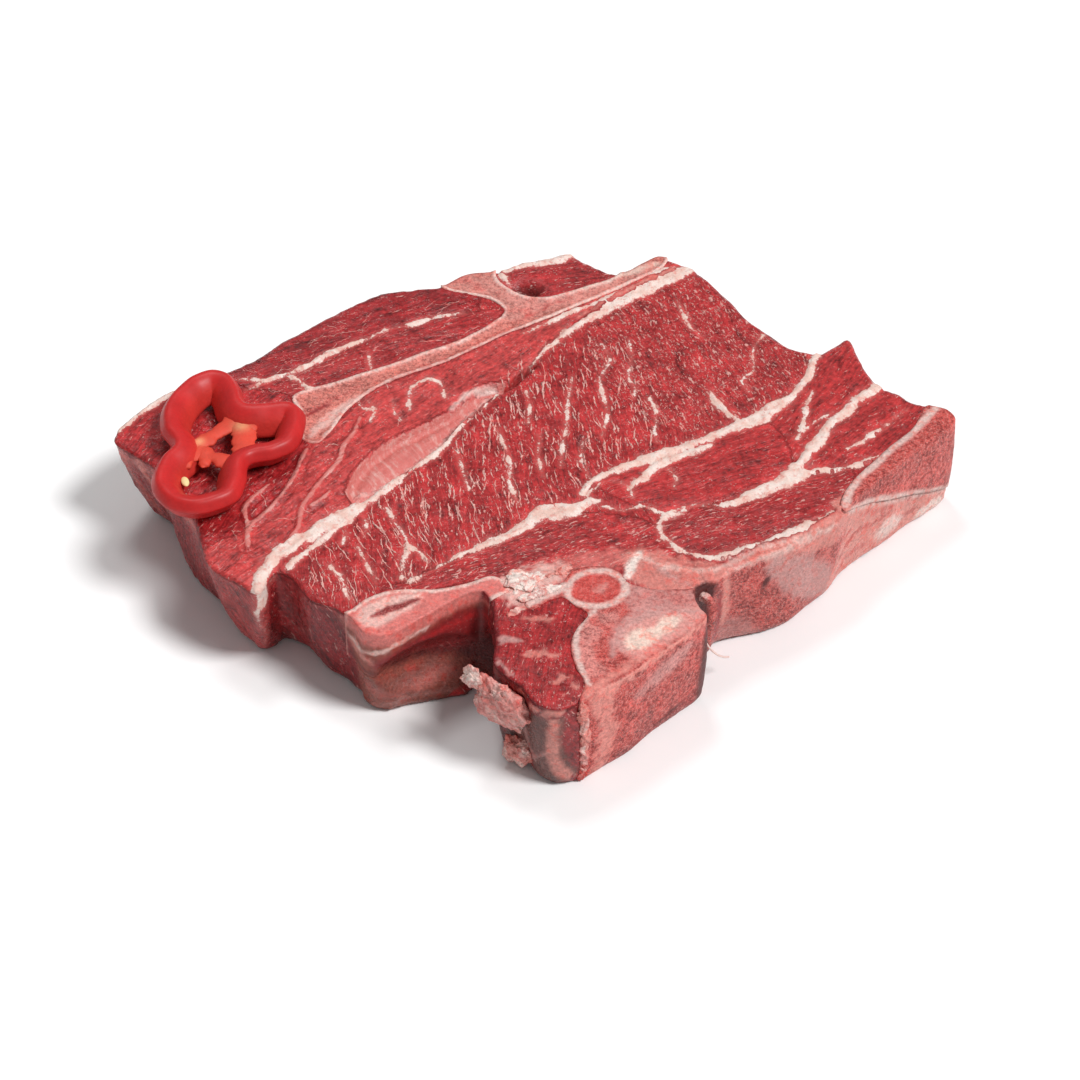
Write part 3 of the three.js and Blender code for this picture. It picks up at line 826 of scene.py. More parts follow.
class Graph:
    """Adds shader nodes to a tree and joins them."""

    def __init__(self, tree: bpy.types.NodeTree) -> None:
        """Work on one node tree."""
        self.tree = tree

    def node(self, kind: str, inputs: dict | None = None, **settings: object) -> bpy.types.Node:
        """Add a node.

        Args:
            kind: the node's type name without its prefix.
            inputs: value or socket for each input, by name or number.
            **settings: properties of the node.

        Returns:
            The node.
        """
        made = self.tree.nodes.new("ShaderNode" + kind)
        for name, value in settings.items():
            setattr(made, name, value)
        for key, value in (inputs or {}).items():
            socket = made.inputs[key]
            if isinstance(value, bpy.types.NodeSocket):
                self.tree.links.new(value, socket)
            else:
                socket.default_value = value
        return made

    def math(self, operation: str, a: object, b: object = 0.0, c: object = 0.0) -> bpy.types.NodeSocket:
        """Return the result of a Math node."""
        return self.node("Math", {0: a, 1: b, 2: c}, operation=operation).outputs[0]

    def scaled(self, vector: object, scale: tuple[float, float, float]) -> bpy.types.NodeSocket:
        """Return a vector multiplied by a scale."""
        return self.node("VectorMath", {0: vector, 1: scale}, operation="MULTIPLY").outputs[0]

    def noise(self, vector: object, scale: float, detail: float = 2.0, rough: float = 0.55) -> bpy.types.NodeSocket:
        """Return a noise value around one half."""
        return self.node("TexNoise", {"Vector": vector, "Scale": scale, "Detail": detail,
                                      "Roughness": rough}).outputs[0]

    def band(self, value: object, low: float, high: float, bottom: float = 0.0,
             top: float = 1.0) -> bpy.types.NodeSocket:
        """Return a value mapped smoothly from low..high to bottom..top and clamped."""
        return self.node("MapRange", {0: value, 1: low, 2: high, 3: bottom, 4: top},
                         interpolation_type="SMOOTHSTEP").outputs[0]

    def mix(self, share: object, a: object, b: object, blend: str = "MIX") -> bpy.types.NodeSocket:
        """Return two colours mixed."""
        pair = {key: (*v, 1.0) if isinstance(v, tuple) and len(v) == 3 else v for key, v in ((6, a), (7, b))}
        return self.node("Mix", {0: share, **pair}, data_type="RGBA", blend_type=blend).outputs[2]

    def shade(self, colour: object, value: object) -> bpy.types.NodeSocket:
        """Return a colour multiplied by a number."""
        return self.node("VectorMath", {0: colour, "Scale": value}, operation="SCALE").outputs[0]

    def attribute(self, name: str, output: str = "Fac") -> bpy.types.NodeSocket:
        """Return a value stored on the mesh."""
        return self.node("Attribute", attribute_name=name).outputs[output]

    def group(self, tree: bpy.types.NodeTree, **inputs: object) -> bpy.types.Node:
        """Add a node group with its inputs joined."""
        made = self.node("Group", node_tree=tree)
        for name, value in inputs.items():
            socket = made.inputs[name.capitalize()]
            if isinstance(value, bpy.types.NodeSocket):
                self.tree.links.new(value, socket)
            else:
                socket.default_value = value
        return made


def shared_group(name: str, inputs: dict[str, str], outputs: dict[str, str],
                 fill: Callable[[Graph, Callable], dict]) -> bpy.types.NodeTree:
    """Make a node group that outputs colours, masks, values or heights.

    Args:
        name: name of the group.
        inputs: kind of socket for each input.
        outputs: kind of socket for each output.
        fill: builds the inside and returns the socket for each output.

    Returns:
        The group's tree.
    """
    tree = bpy.data.node_groups.new(name, "ShaderNodeTree")
    for side, sockets in (("INPUT", inputs), ("OUTPUT", outputs)):
        for label, kind in sockets.items():
            tree.interface.new_socket(label, in_out=side, socket_type="NodeSocket" + kind)
    entry, leave = tree.nodes.new("NodeGroupInput"), tree.nodes.new("NodeGroupOutput")
    for label, socket in fill(Graph(tree), lambda label: entry.outputs[label]).items():
        tree.links.new(socket, leave.inputs[label])
    return tree


def ragged_edge(g: Graph, given: Callable) -> dict:
    """Turn a distance in millimetres into a mask with a torn edge."""
    coarse = g.noise(given("Place"), 210, 4, 0.65)
    fine = g.noise(given("Place"), 1000, 3, 0.65)
    wander = g.math("ADD", g.math("SUBTRACT", coarse, 0.5), g.math("MULTIPLY", g.math("SUBTRACT", fine, 0.5), 0.5))
    away = g.math("MULTIPLY_ADD", g.math("MULTIPLY", wander, given("Jag")), 2.0, given("Distance"))
    return {"Mask": g.band(away, 0.34, -0.34), "Halo": g.band(away, 2.6, 0.0)}


def muscle_grain_and_highlights(g: Graph, given: Callable) -> dict:
    """Lay fibres, mottling, fat flecks and painted white highlights over a muscle's colour."""
    long = g.scaled(given("Grain"), (0.13, 1.0, 1.0))
    short = g.scaled(given("Grain"), (0.34, 1.0, 1.0))
    fibres = g.noise(long, 950, 3, 0.65)
    cords = g.noise(long, 300, 2, 0.5)
    patches = g.noise(given("Place"), 75, 3, 0.55)
    spots = g.noise(given("Place"), 420, 3, 0.6)
    swing = g.math("MULTIPLY_ADD", g.math("SUBTRACT", patches, 0.5), 1.35, 1.0)
    for value, share in ((spots, 1.8), (fibres, 1.7), (cords, 1.2)):
        swing = g.math("MULTIPLY_ADD", g.math("SUBTRACT", value, 0.5), share, swing)
    colour = g.shade(given("Colour"), g.math("MAXIMUM", swing, 0.25))
    tint = g.band(g.math("MULTIPLY_ADD", fibres, 0.5, g.math("MULTIPLY", spots, 0.5)), 0.55, 0.72, 0.0, 0.20)
    colour = g.mix(tint, colour, Tint.SILVER.value)
    need = g.math("MULTIPLY_ADD", given("Marble"), -0.11, 0.70)
    fleck = g.math("SUBTRACT", g.noise(short, 700, 3, 0.6), need)
    mask = g.band(fleck, 0.0, 0.045)
    colour = g.mix(g.math("MULTIPLY", mask, 0.7), colour, Tint.FLECK.value)
    # Painted highlight: tiny white glint specks, clustered where the broad patches run high, mixed towards the
    # fat-white colour
    painted_highlight = g.math("ADD", g.noise(given("Place"), 1150, 2, 0.5), g.band(patches, 0.42, 0.62, -0.03, 0.05))
    colour = g.mix(g.band(painted_highlight, 0.69, 0.74, 0.0, 0.45), colour, Tint.FAT_WHITE.value)
    height = g.math("MULTIPLY_ADD", fibres, 0.6, g.math("MULTIPLY", spots, 0.5))
    return {"Colour": colour, "Height": g.math("MULTIPLY_ADD", mask, 0.12, height)}


def fat_mottling(g: Graph, given: Callable) -> dict:
    """Give fat its creamy body, white crowns and pink stains."""
    body = g.noise(given("Place"), 130, 3, 0.6)
    stain = g.noise(given("Place"), 330, 4, 0.7)
    crumb = g.noise(given("Place"), 900, 3, 0.6)
    colour = g.mix(g.band(body, 0.38, 0.62), Tint.FAT.value, Tint.FAT_WHITE.value)
    colour = g.mix(g.band(stain, 0.50, 0.66, 0.0, 0.7), colour, Tint.FAT_PINK.value)
    colour = g.mix(g.band(g.noise(given("Place"), 520, 4, 0.7), 0.60, 0.70, 0.0, 0.6), colour, Tint.MARROW.value)
    colour = g.shade(colour, g.math("MULTIPLY_ADD", g.math("SUBTRACT", crumb, 0.5), 0.28, 1.0))
    return {"Colour": colour, "Height": g.math("MULTIPLY_ADD", stain, 0.6, g.math("MULTIPLY", crumb, 0.5))}


def bone_sponge(g: Graph, given: Callable) -> dict:
    """Lay the cells of sawn spongy bone over a colour."""
    cells = g.node("TexVoronoi", {"Vector": given("Place"), "Scale": 780.0, "Randomness": 1.0},
                   feature="DISTANCE_TO_EDGE").outputs["Distance"]
    wall = g.band(cells, 0.02, 0.16, 1.0, 0.0)
    clots = g.noise(given("Place"), 520, 3, 0.7)
    broad = g.noise(given("Place"), 110, 3, 0.6)
    grit = g.noise(given("Place"), 1100, 2, 0.6)
    swing = g.math("MULTIPLY_ADD", g.math("SUBTRACT", broad, 0.5), 1.9, 1.0)
    swing = g.math("MULTIPLY_ADD", g.math("SUBTRACT", clots, 0.5), 2.6, swing)
    swing = g.math("MULTIPLY_ADD", g.math("SUBTRACT", grit, 0.5), 2.2, swing)
    colour = g.shade(given("Colour"), g.math("MAXIMUM", swing, 0.2))
    pale = g.math("MULTIPLY", wall, g.band(clots, 0.42, 0.60, 0.0, 0.7))
    colour = g.mix(pale, colour, Tint.SPONGY_PALE.value)
    colour = g.mix(g.band(clots, 0.44, 0.32, 0.0, 0.7), colour, Tint.SPONGY_DARK.value)
    return {"Colour": colour, "Height": g.math("MULTIPLY_ADD", cells, -0.6, clots)}


@dataclass(frozen=True)
class BeefFinish:
    """Raw beef, bone or fat whose colours and grain are stored on the mesh."""

    name: str
    roughness: float = 0.32
    fat_roughness: float = 0.44
    scatter: float = 0.05
    jag: float = 2.1
    relief: float = 1.0

    def make(self, groups: dict[str, bpy.types.NodeTree]) -> bpy.types.Material:
        """Build the material.

        Args:
            groups: the shared node groups.

        Returns:
            The material.
        """
        material = bpy.data.materials.new(self.name)
        material.use_nodes = True
        tree = material.node_tree
        tree.nodes.clear()
        g = Graph(tree)
        place = g.node("TexCoord").outputs["Object"]
        grain = g.attribute("grain", "Vector")
        paint = g.attribute("paint", "Color")
        flesh, marble, spongy = (g.attribute(name) for name in ("flesh", "marble", "spongy"))
        plain_noise = g.noise(place, 620, 4, 0.65)
        stain = g.noise(place, 210, 4, 0.65)
        uneven = g.math("MULTIPLY_ADD", g.math("SUBTRACT", plain_noise, 0.5), 1.5, 1.05)
        uneven = g.math("MULTIPLY_ADD", g.math("SUBTRACT", stain, 0.5), 0.7, uneven)
        plain = g.shade(paint, uneven)
        plain = g.mix(g.band(stain, 0.48, 0.66, 0.0, 0.8), plain, (0.92, 0.42, 0.38), "MULTIPLY")
        muscle = g.group(groups["muscle"], place=place, grain=grain, colour=paint, marble=marble)
        sponge = g.group(groups["sponge"], place=place, colour=paint)
        fat = g.group(groups["fat"], place=place)
        seam = g.group(groups["edge"], place=place, distance=g.attribute("fat"), jag=self.jag)
        film = g.group(groups["edge"], place=place, distance=g.attribute("skin"), jag=self.jag * 0.6)
        colour = g.mix(flesh, plain, muscle.outputs["Colour"])
        colour = g.mix(spongy, colour, sponge.outputs["Colour"])
        halo = g.math("MULTIPLY", g.math("MULTIPLY", seam.outputs["Halo"], flesh), 0.34)
        colour = g.mix(halo, colour, Tint.SILVER.value)
        streaks = g.noise(g.scaled(grain, (0.12, 1.0, 1.0)), 420, 3, 0.6)
        silver = g.mix(g.band(streaks, 0.44, 0.86), Tint.SILVER.value, Tint.BONE_PALE.value)
        colour = g.mix(g.math("MULTIPLY", film.outputs["Mask"], 0.92), colour, silver)
        colour = g.mix(seam.outputs["Mask"], colour, fat.outputs["Colour"])
        height = self.blend(g, flesh, plain_noise, muscle.outputs["Height"])
        height = self.blend(g, spongy, height, sponge.outputs["Height"])
        height = self.blend(g, seam.outputs["Mask"], height, fat.outputs["Height"])
        bump = g.node("Bump", {"Strength": self.relief, "Distance": 0.0009, "Height": height}).outputs[0]
        wet = g.band(g.noise(place, 160, 3, 0.6), 0.35, 0.65, -0.08, 0.08)
        rough = g.math("ADD", g.band(seam.outputs["Mask"], 0.0, 1.0, self.roughness, self.fat_roughness), wet)
        shader = g.node("BsdfPrincipled", {
            "Base Color": colour, "Roughness": rough, "Normal": bump, "Subsurface Weight": self.scatter,
            "Subsurface Radius": (0.0025, 0.0006, 0.0005), "Subsurface Scale": 1.0, "Specular IOR Level": 0.34,
        })
        out = g.node("OutputMaterial")
        tree.links.new(shader.outputs[0], out.inputs["Surface"])
        return material

    @staticmethod
    def blend(g: Graph, share: object, a: object, b: object) -> bpy.types.NodeSocket:
        """Return two numbers mixed."""
        return g.node("Mix", {0: share, 2: a, 3: b}, data_type="FLOAT").outputs[0]


@dataclass(frozen=True)
class PepperFinish:
    """Glossy red pepper whose cut flesh and skin are stored on the mesh."""

    name: str = "pepper"
    roughness: float = 0.42

    def make(self) -> bpy.types.Material:
        """Build the material."""
        material = bpy.data.materials.new(self.name)
        material.use_nodes = True
        tree = material.node_tree
        tree.nodes.clear()
        g = Graph(tree)
        place = g.node("TexCoord").outputs["Object"]
        paint = g.attribute("paint", "Color")
        soft = g.noise(place, 90, 3, 0.55)
        fine = g.noise(place, 700, 3, 0.6)
        swing = g.math("MULTIPLY_ADD", g.math("SUBTRACT", soft, 0.5), 0.6, 1.0)
        colour = g.shade(paint, g.math("MULTIPLY_ADD", g.math("SUBTRACT", fine, 0.5), 0.3, swing))
        cut = g.attribute("flesh")
        height = g.math("MULTIPLY", fine, g.math("MULTIPLY_ADD", cut, 0.8, 0.2))
        bump = g.node("Bump", {"Strength": 0.3, "Distance": 0.0006, "Height": height}).outputs[0]
        shader = g.node("BsdfPrincipled", {
            "Base Color": colour, "Roughness": g.math("MULTIPLY_ADD", cut, 0.18, self.roughness), "Normal": bump,
            "Subsurface Weight": 0.08, "Subsurface Radius": (0.003, 0.0004, 0.0003), "Subsurface Scale": 1.0,
            "Specular IOR Level": 0.35,
        })
        tree.links.new(shader.outputs[0], g.node("OutputMaterial").inputs["Surface"])
        return material


@dataclass(frozen=True)
class PlainFinish:
    """One matte colour with a faint unevenness, for the floor and the thin pieces."""

    name: str
    tint: tuple[float, float, float]
    roughness: float = 0.6
    swing: float = 0.0

    def make(self) -> bpy.types.Material:
        """Build the material."""
        material = bpy.data.materials.new(self.name)
        material.use_nodes = True
        g = Graph(material.node_tree)
        shader = material.node_tree.nodes["Principled BSDF"]
        shader.inputs["Roughness"].default_value = self.roughness
        shader.inputs["Base Color"].default_value = (*self.tint, 1.0)
        if self.swing:
            place = g.node("TexCoord").outputs["Object"]
            cloud = g.math("SUBTRACT", g.noise(place, 600, 3, 0.6), 0.5)
            colour = g.shade(self.tint, g.math("MULTIPLY_ADD", cloud, self.swing, 1.0))
            material.node_tree.links.new(colour, shader.inputs["Base Color"])
        return material


def shared_groups() -> dict[str, bpy.types.NodeTree]:
    """Make every node group that more than one material uses."""
    place = {"Place": "Vector"}
    both = {"Colour": "Color", "Height": "Float"}
    return {
        "edge": shared_group("Torn edge", {**place, "Distance": "Float", "Jag": "Float"},
                             {"Mask": "Float", "Halo": "Float"}, ragged_edge),
        "muscle": shared_group("Muscle grain and painted highlights", {**place, "Grain": "Vector", "Colour": "Color", "Marble": "Float"},
                               both, muscle_grain_and_highlights),
        "fat": shared_group("Fat mottling", place, both, fat_mottling),
        "sponge": shared_group("Bone sponge", {**place, "Colour": "Color"}, both, bone_sponge),
    }


SAWN_FACE = Face((19, -157), (203, 28), 24, (
    Patch(Tint.SPONGY, [(8, -4), (8, 60), (80, 60), (80, -4)], spongy=1.0, ragged=0.2),
    Patch(Tint.SPONGY_DARK, [(20, -6), (20, 7), (50, 9), (78, 12), (78, -6)], spongy=1.0, strength=0.75, blur=3),
    Patch(Tint.FAT_PINK, [(6, -4), (8, 30), (6, 60), (20, 60), (15, 40), (18, 22), (13, 8), (12, -4)], ragged=4,
          blur=1.6, strength=0.8, spongy=0.2),
    Patch(Tint.LILAC_PALE, [(28, 38), (38, 44), (56, 49), (66, 47), (60, 41), (44, 36)], spongy=0.6, strength=0.7,
          blur=3, ragged=2),
    Patch(Tint.FAT_PINK, [(14, 56, 5), (40, 56, 4.4), (60, 56, 3.6), (78, 56, 3)], closed=False, ragged=2.4,
          blur=1.2, spongy=0.3),
    # Painted shade: a dark crack low on the sawn face, then the dark recess of the canal
    Patch(Tint.HOLE_SHADE, [(46, 6, 1), (53, 8, 1.5), (61, 9, 0.8)], closed=False, ragged=1.4),
    Patch(Tint.HOLE_SHADE, [(75, -6), (75, 50), (82, 56), (100, 50), (104, -6)], flesh=0.3, blur=2, ragged=0.6),
    Patch(Tint.SPONGY, [(104, -6), (103, 60), (190, 60), (180, -6)], spongy=1.0, blur=1),
    Patch(Tint.WINE, [(100.5, 42, 1), (101.5, 28, 2), (102, 10, 2)], closed=False, blur=1.5, flesh=0.6),
    Patch(Tint.LILAC_PALE, [(107, -6), (108, 20), (114, 18), (122, 10), (127, -6)], strength=0.55, blur=3, ragged=2),
    Patch(Tint.FAT_PINK, [(104, 52, 1.8), (105.5, 36, 2.2), (107, 18, 1.4)], closed=False, ragged=1.4),
    Patch(Tint.FAT_PINK, [(122, 60), (128, 47), (146, 43), (168, 38), (186, 44), (190, 60)], strength=0.8, blur=2.5,
          ragged=3),
    Patch(Tint.BONE_PALE, [(104, 54, 1.6), (124, 53, 2), (146, 51, 2.4), (168, 50, 1.6)], closed=False, ragged=2,
          strength=0.8, blur=1.2),
    Patch(Tint.MARROW, [(112, 44, 1), (122, 40, 2.2), (134, 30, 1.6), (142, 14, 1.2)], closed=False, ragged=3,
          strength=0.6, spongy=1.0),
    Patch(Tint.LILAC_PALE, [(132, 44, 6), (145, 32, 11), (158, 18, 10), (170, 3, 5)], closed=False, strength=0.85,
          blur=2.6, ragged=2.2),
    # Painted shade: a short dark notch
    Patch(Tint.HOLE_SHADE, [(125, 35, 1.3), (127, 39, 1.6)], closed=False, ragged=0.8),
    Patch(Tint.FAT_PINK, [(172, -6), (168, 8), (174, 28), (184, 46), (210, 34), (236, 20), (270, 6), (270, -6)],
          ragged=1.2),
    Patch(Tint.SPONGY, [(176, 22, 1.6), (190, 30, 1), (204, 24, 0.7), (214, 25, 0.6)], closed=False, ragged=1.8,
          strength=0.8),
    Patch(Tint.SPONGY, [(222, 14, 0.6), (232, 12, 1.6), (240, 10, 1)], closed=False, ragged=1.8, strength=0.85),
    Patch(Tint.MARROW, [(178, 34, 0.6), (192, 38, 1.2), (206, 31, 0.8), (222, 24, 0.6)], closed=False, ragged=2.6,
          strength=0.7, blur=1.2),
    Patch(Tint.MARROW, [(176, 8, 0.8), (186, 14, 1.6), (198, 12, 1)], closed=False, ragged=3, strength=0.6, blur=1.4),
    Patch(Tint.FAT_WHITE, [(208, 8), (209, 17), (220, 20), (227, 12), (216, 7)], ragged=2.6, blur=3, strength=0.7),
    Patch(Tint.FAT_WHITE, [(238, 3), (240, 9), (254, 9), (258, 2)], ragged=2, blur=2, strength=0.8),
    Patch(Tint.SPONGY, [(184, 49), (210, 37), (236, 23), (270, 9), (275, 62), (178, 62)], spongy=1.0, ragged=0.6),
    Patch(Tint.CORTEX, [(182, 49, 2.2), (200, 41.5, 2.6), (220, 31, 2.6), (240, 21, 2.3), (262, 10, 1.8)],
          closed=False, ragged=0.6, blur=1.2),
), 0.48)

BLOCK_FRONT = Face((-25, -140), (22, -158), 16, (
    Patch(Tint.LILAC, [(12, -4), (14, 44), (30, 46), (52, 52), (52, -4)], flesh=0.35, blur=1.6),
    Patch(Tint.MUSCLE_DARK, [(10, 50, 5), (34, 51, 4), (52, 54, 3)], closed=False, flesh=1.0, ragged=2, blur=1.6),
    Patch(Tint.LILAC_PALE, [(18, 5, 0.8), (25, 13, 1.3), (33, 22, 0.8)], closed=False, strength=0.7),
    Patch(Tint.LILAC_PALE, [(27, 12, 0.8), (22, 22, 1), (20, 31, 0.8)], closed=False, strength=0.6),
    Patch(Tint.FAT_PINK, [(37, 44, 2.4), (36.5, 30, 2.8), (37, 18, 3.0), (41, 8, 3), (46, 3, 1.6)], closed=False,
          strength=0.9, blur=1.4),
    Patch(Tint.WINE, [(44, 48, 2.6), (43.5, 30, 2.6), (46, 15, 2)], closed=False, flesh=0.6, blur=1.2),
    Patch(Tint.SPONGY, [(10, 0, 1.5), (30, -1, 1.6), (46, 0, 2)], closed=False, ragged=1.5),
    Patch(Tint.FAT_PINK, [(18, 50, 0.6), (26, 48, 1.3), (34, 50, 1.6), (44, 52, 1)], closed=False, ragged=2.2,
          blur=0.9, strength=0.9),
), 0.74)

BLOCK_LEFT = Face((-21, -92), (-20, -142), 14, (
    Patch(Tint.WINE, [(-8, -4), (-8, 60), (56, 60), (56, -4)], flesh=0.9),
    # Painted shade: the low end of this wall nearest the rib is darkened
    Patch(Tint.HOLE_SHADE, [(-8, -4), (-8, 34), (20, 30), (26, -4)], flesh=0.5, blur=4, strength=0.8),
    Patch(Tint.LILAC_PALE, [(30, 50, 1.2), (36, 42, 1.6), (40, 30, 1)], closed=False, strength=0.7),
))

PLEURA = Face((-100, -104), (-18, -104), 34, (
    Patch(Tint.MEMBRANE, [(6, -6), (6, 47), (20, 48), (60, 48), (88, 47), (88, -6)], blur=2.5, ragged=1.2),
    Patch(Tint.SILVER, [(10, 48, 2), (30, 49, 2.4), (52, 50, 1.6), (84, 50, 0.8)], closed=False, strength=0.8,
          blur=1.8, ragged=1.6),
    Patch(Tint.MUSCLE_DARK, [(22, 34), (34, 43), (48, 46), (66, 47), (86, 48), (86, 16), (60, 22), (44, 27), (28, 29)],
          strength=0.92, blur=2.6, ragged=1.8, flesh=0.4),
    Patch(Tint.MUSCLE_BRIGHT, [(46, 43, 0.6), (60, 42, 1.4), (76, 43, 0.8)], closed=False, strength=0.6, blur=1.6),
    Patch(Tint.SILVER, [(12, 22, 2), (30, 13, 2.5), (54, 15, 2), (66, 14, 1)], closed=False, strength=0.4, blur=3,
          ragged=2.4),
    # Painted shade: a dark crease across the membrane
    Patch(Tint.HOLE_SHADE, [(16, 29, 0.6), (30, 27, 1.8), (48, 25, 2.0), (66, 21, 2)], closed=False, strength=0.8,
          blur=2.4, ragged=1.5),
    Patch(Tint.FAT_PINK, [(6, 42, 2), (14, 37, 2.4), (22, 36, 1)], closed=False, strength=0.7, blur=2, ragged=2),
    Patch(Tint.BONE_PALE, [(0, 46, 0.8), (8, 42, 1.3), (18, 41, 1.1), (32, 45, 0.9), (48, 48, 0.6)], closed=False,
          strength=0.9, blur=0.9, ragged=1.8),
    Patch(Tint.BONE_PALE, [(2, 38, 0.6), (6, 30, 1.2), (12, 26, 0.7)], closed=False, strength=0.7, blur=1,
          ragged=1.4),
    Patch(Tint.LILAC, [(22, 20, 2), (36, 17, 3), (52, 19, 2)], closed=False, strength=0.5, blur=3, ragged=2),
    Patch(Tint.MARROW, [(38, 21, 0.6), (41, 20, 1)], closed=False, strength=0.7, blur=1, ragged=1),
    Patch(Tint.LILAC_PALE, [(24, 4, 1.0), (40, 8, 1.4), (58, 6, 1.0)], closed=False, strength=0.4, blur=2, ragged=2),
    # Painted shade: the deep right end of the bowl is darkened
    Patch(Tint.HOLE_SHADE, [(64, -6), (66, 16), (70, 30), (84, 40), (86, -6)], blur=5, strength=0.85),
    Patch(Tint.MUSCLE_BRIGHT, [(60, 2, 2), (70, 5, 4), (80, 2, 3)], closed=False, ragged=2, flesh=0.8),
    Patch(Tint.MUSCLE_DARK, [(-4, 50), (10, 44), (12, -6), (-4, -6)], blur=2, flesh=1.0),
))
LEFT_END = Face((-207, 14), (-164, -40), 16, (
    Patch(Tint.SILVER, [(-6, 48, 3), (20, 46, 3), (44, 48, 3), (72, 47, 2)], closed=False, strength=0.7, blur=3,
          ragged=2.5, flesh=0.6),
    Patch(Tint.SILVER, [(4, 44, 1), (8, 26, 1.6), (14, 4, 1.2)], closed=False, strength=0.7, blur=2, ragged=1.5),
    Patch(Tint.FAT_PINK, [(16, 50, 1), (20, 30, 1.4), (30, 8, 1)], closed=False, strength=0.7, blur=1.6, ragged=1.5),
    Patch(Tint.FAT_PINK, [(30, 50, 1), (33, 34, 1.2), (42, 12, 0.8)], closed=False, strength=0.6, blur=1.6,
          ragged=1.5),
))
WALL_FACES = (BLOCK_LEFT, PLEURA, BLOCK_FRONT, LEFT_END, SAWN_FACE)

CUT_PATCHES = (
    Patch(Tint.FAT_PINK, [(92, -72), (104, -60), (122, -52), (136, -40), (146, -32), (156, -14), (140, -30),
                          (150, -50), (100, -90)], strength=0.85, ragged=2.2, blur=2),
    Patch(Tint.FAT_PINK, [(38, -64), (52, -62), (70, -68), (90, -72), (96, -90), (60, -92), (44, -84)],
          strength=0.75, ragged=2.6, blur=2.5),
    Patch(Tint.LILAC_PALE, [(52, -70, 1.4), (60, -78, 1.8), (70, -86, 1.2)], closed=False, strength=0.7, blur=1.4),
    Patch(Tint.SILVER, [(-22, -86), (-8, -74), (14, -66), (38, -62), (38, -74), (10, -82), (-10, -100)],
          strength=0.6, ragged=3, blur=2.5, flesh=0.4),
    Patch(Tint.BONE_PALE, [(-20, -88), (-14, -78), (0, -73), (14, -71), (12, -80), (0, -90), (-10, -99)],
          strength=0.75, ragged=3, blur=2, flesh=0.2),
    Patch(Tint.FAT_WHITE, [(40, -80, 1.6), (43, -72, 2.6), (46, -65, 1.4)], closed=False, ragged=1.2, blur=1.2),
    Patch(Tint.BONE_PALE, [(48, -68, 1), (62, -73, 1.8), (78, -75, 1.4), (92, -68, 1.6), (106, -58, 1)],
          closed=False, ragged=1.6, blur=1.4, strength=0.7),
    Patch(Tint.MARROW, [(56, -66, 0.6), (70, -72, 1), (84, -72, 0.6)], closed=False, ragged=1.8, blur=1.4,
          strength=0.5, flesh=0.5),
    Patch(Tint.FAT_PINK, [(-6, -107, 1), (1, -108, 1.8), (8, -106, 1)], closed=False, ragged=2.4, strength=0.7),
    Patch(Tint.FAT_PINK, [(-8, -131, 1.2), (-1, -129, 2.2), (6, -131, 1)], closed=False, ragged=2.6, strength=0.7),
    Patch(Tint.FAT_PINK, [(6, -146, 0.8), (12, -144, 1.6), (16, -150, 1)], closed=False, ragged=2.6, strength=0.7),
    Patch(Tint.LILAC_PALE, [(-22, -123, 1.6), (-15, -119.5, 1.8), (-8, -121.5, 0.9)], closed=False, strength=0.85),
    Patch(Tint.LILAC_PALE, [(-22, -131, 1.6), (-18, -137, 1.8), (-13, -142, 0.9)], closed=False, strength=0.85),
    Patch(Tint.MUSCLE_BRIGHT, [(60, 138, 0.3), (46, 127, 0.8), (32, 116, 0.7), (16, 102, 0.4)], closed=False,
          strength=0.8, blur=0.9, ragged=1.4, flesh=0.6),
    Patch(Tint.FAT_PINK, [(74, 148, 0.8), (56, 136, 1.2), (38, 122, 1), (20, 108, 0.6)], closed=False,
          strength=0.8, blur=1.2, ragged=1.8),
    # Painted shade: the dent in the front of the shoulder is darkened
    Patch(Tint.HOLE_SHADE, [(-14, 126), (-6, 124), (2, 128), (-4, 132), (-12, 131)], blur=2.5, ragged=1.2, flesh=0.4,
          strength=0.85),
    # Painted shade: the slit at the head of the valley is darkened
    Patch(Tint.HOLE_SHADE, [(-19, 51, 0.8), (-13, 57, 1.5), (-7, 64, 1.2), (-3, 70, 0.5)], closed=False, blur=0.6,
          ragged=0.3),
    Patch(Tint.BONE_PALE, [(-88, -24, 0.8), (-76, -17, 1.4), (-62, -3, 1.4), (-48, 15, 1.2), (-34, 36, 2.0),
                           (-26, 47, 2.4)], closed=False, blur=1.4, ragged=1.4, strength=0.75),
    Patch(Tint.FAT_WHITE, [(-44, 37, 0.6), (-32, 51, 1.2), (-22, 54, 1)], closed=False, blur=1.2, strength=0.7),
    Patch(Tint.MARROW, [(-82, -8, 0.3), (-68, 8, 0.7), (-52, 22, 0.4)], closed=False, blur=1.6, ragged=1.4,
          strength=0.3),
)

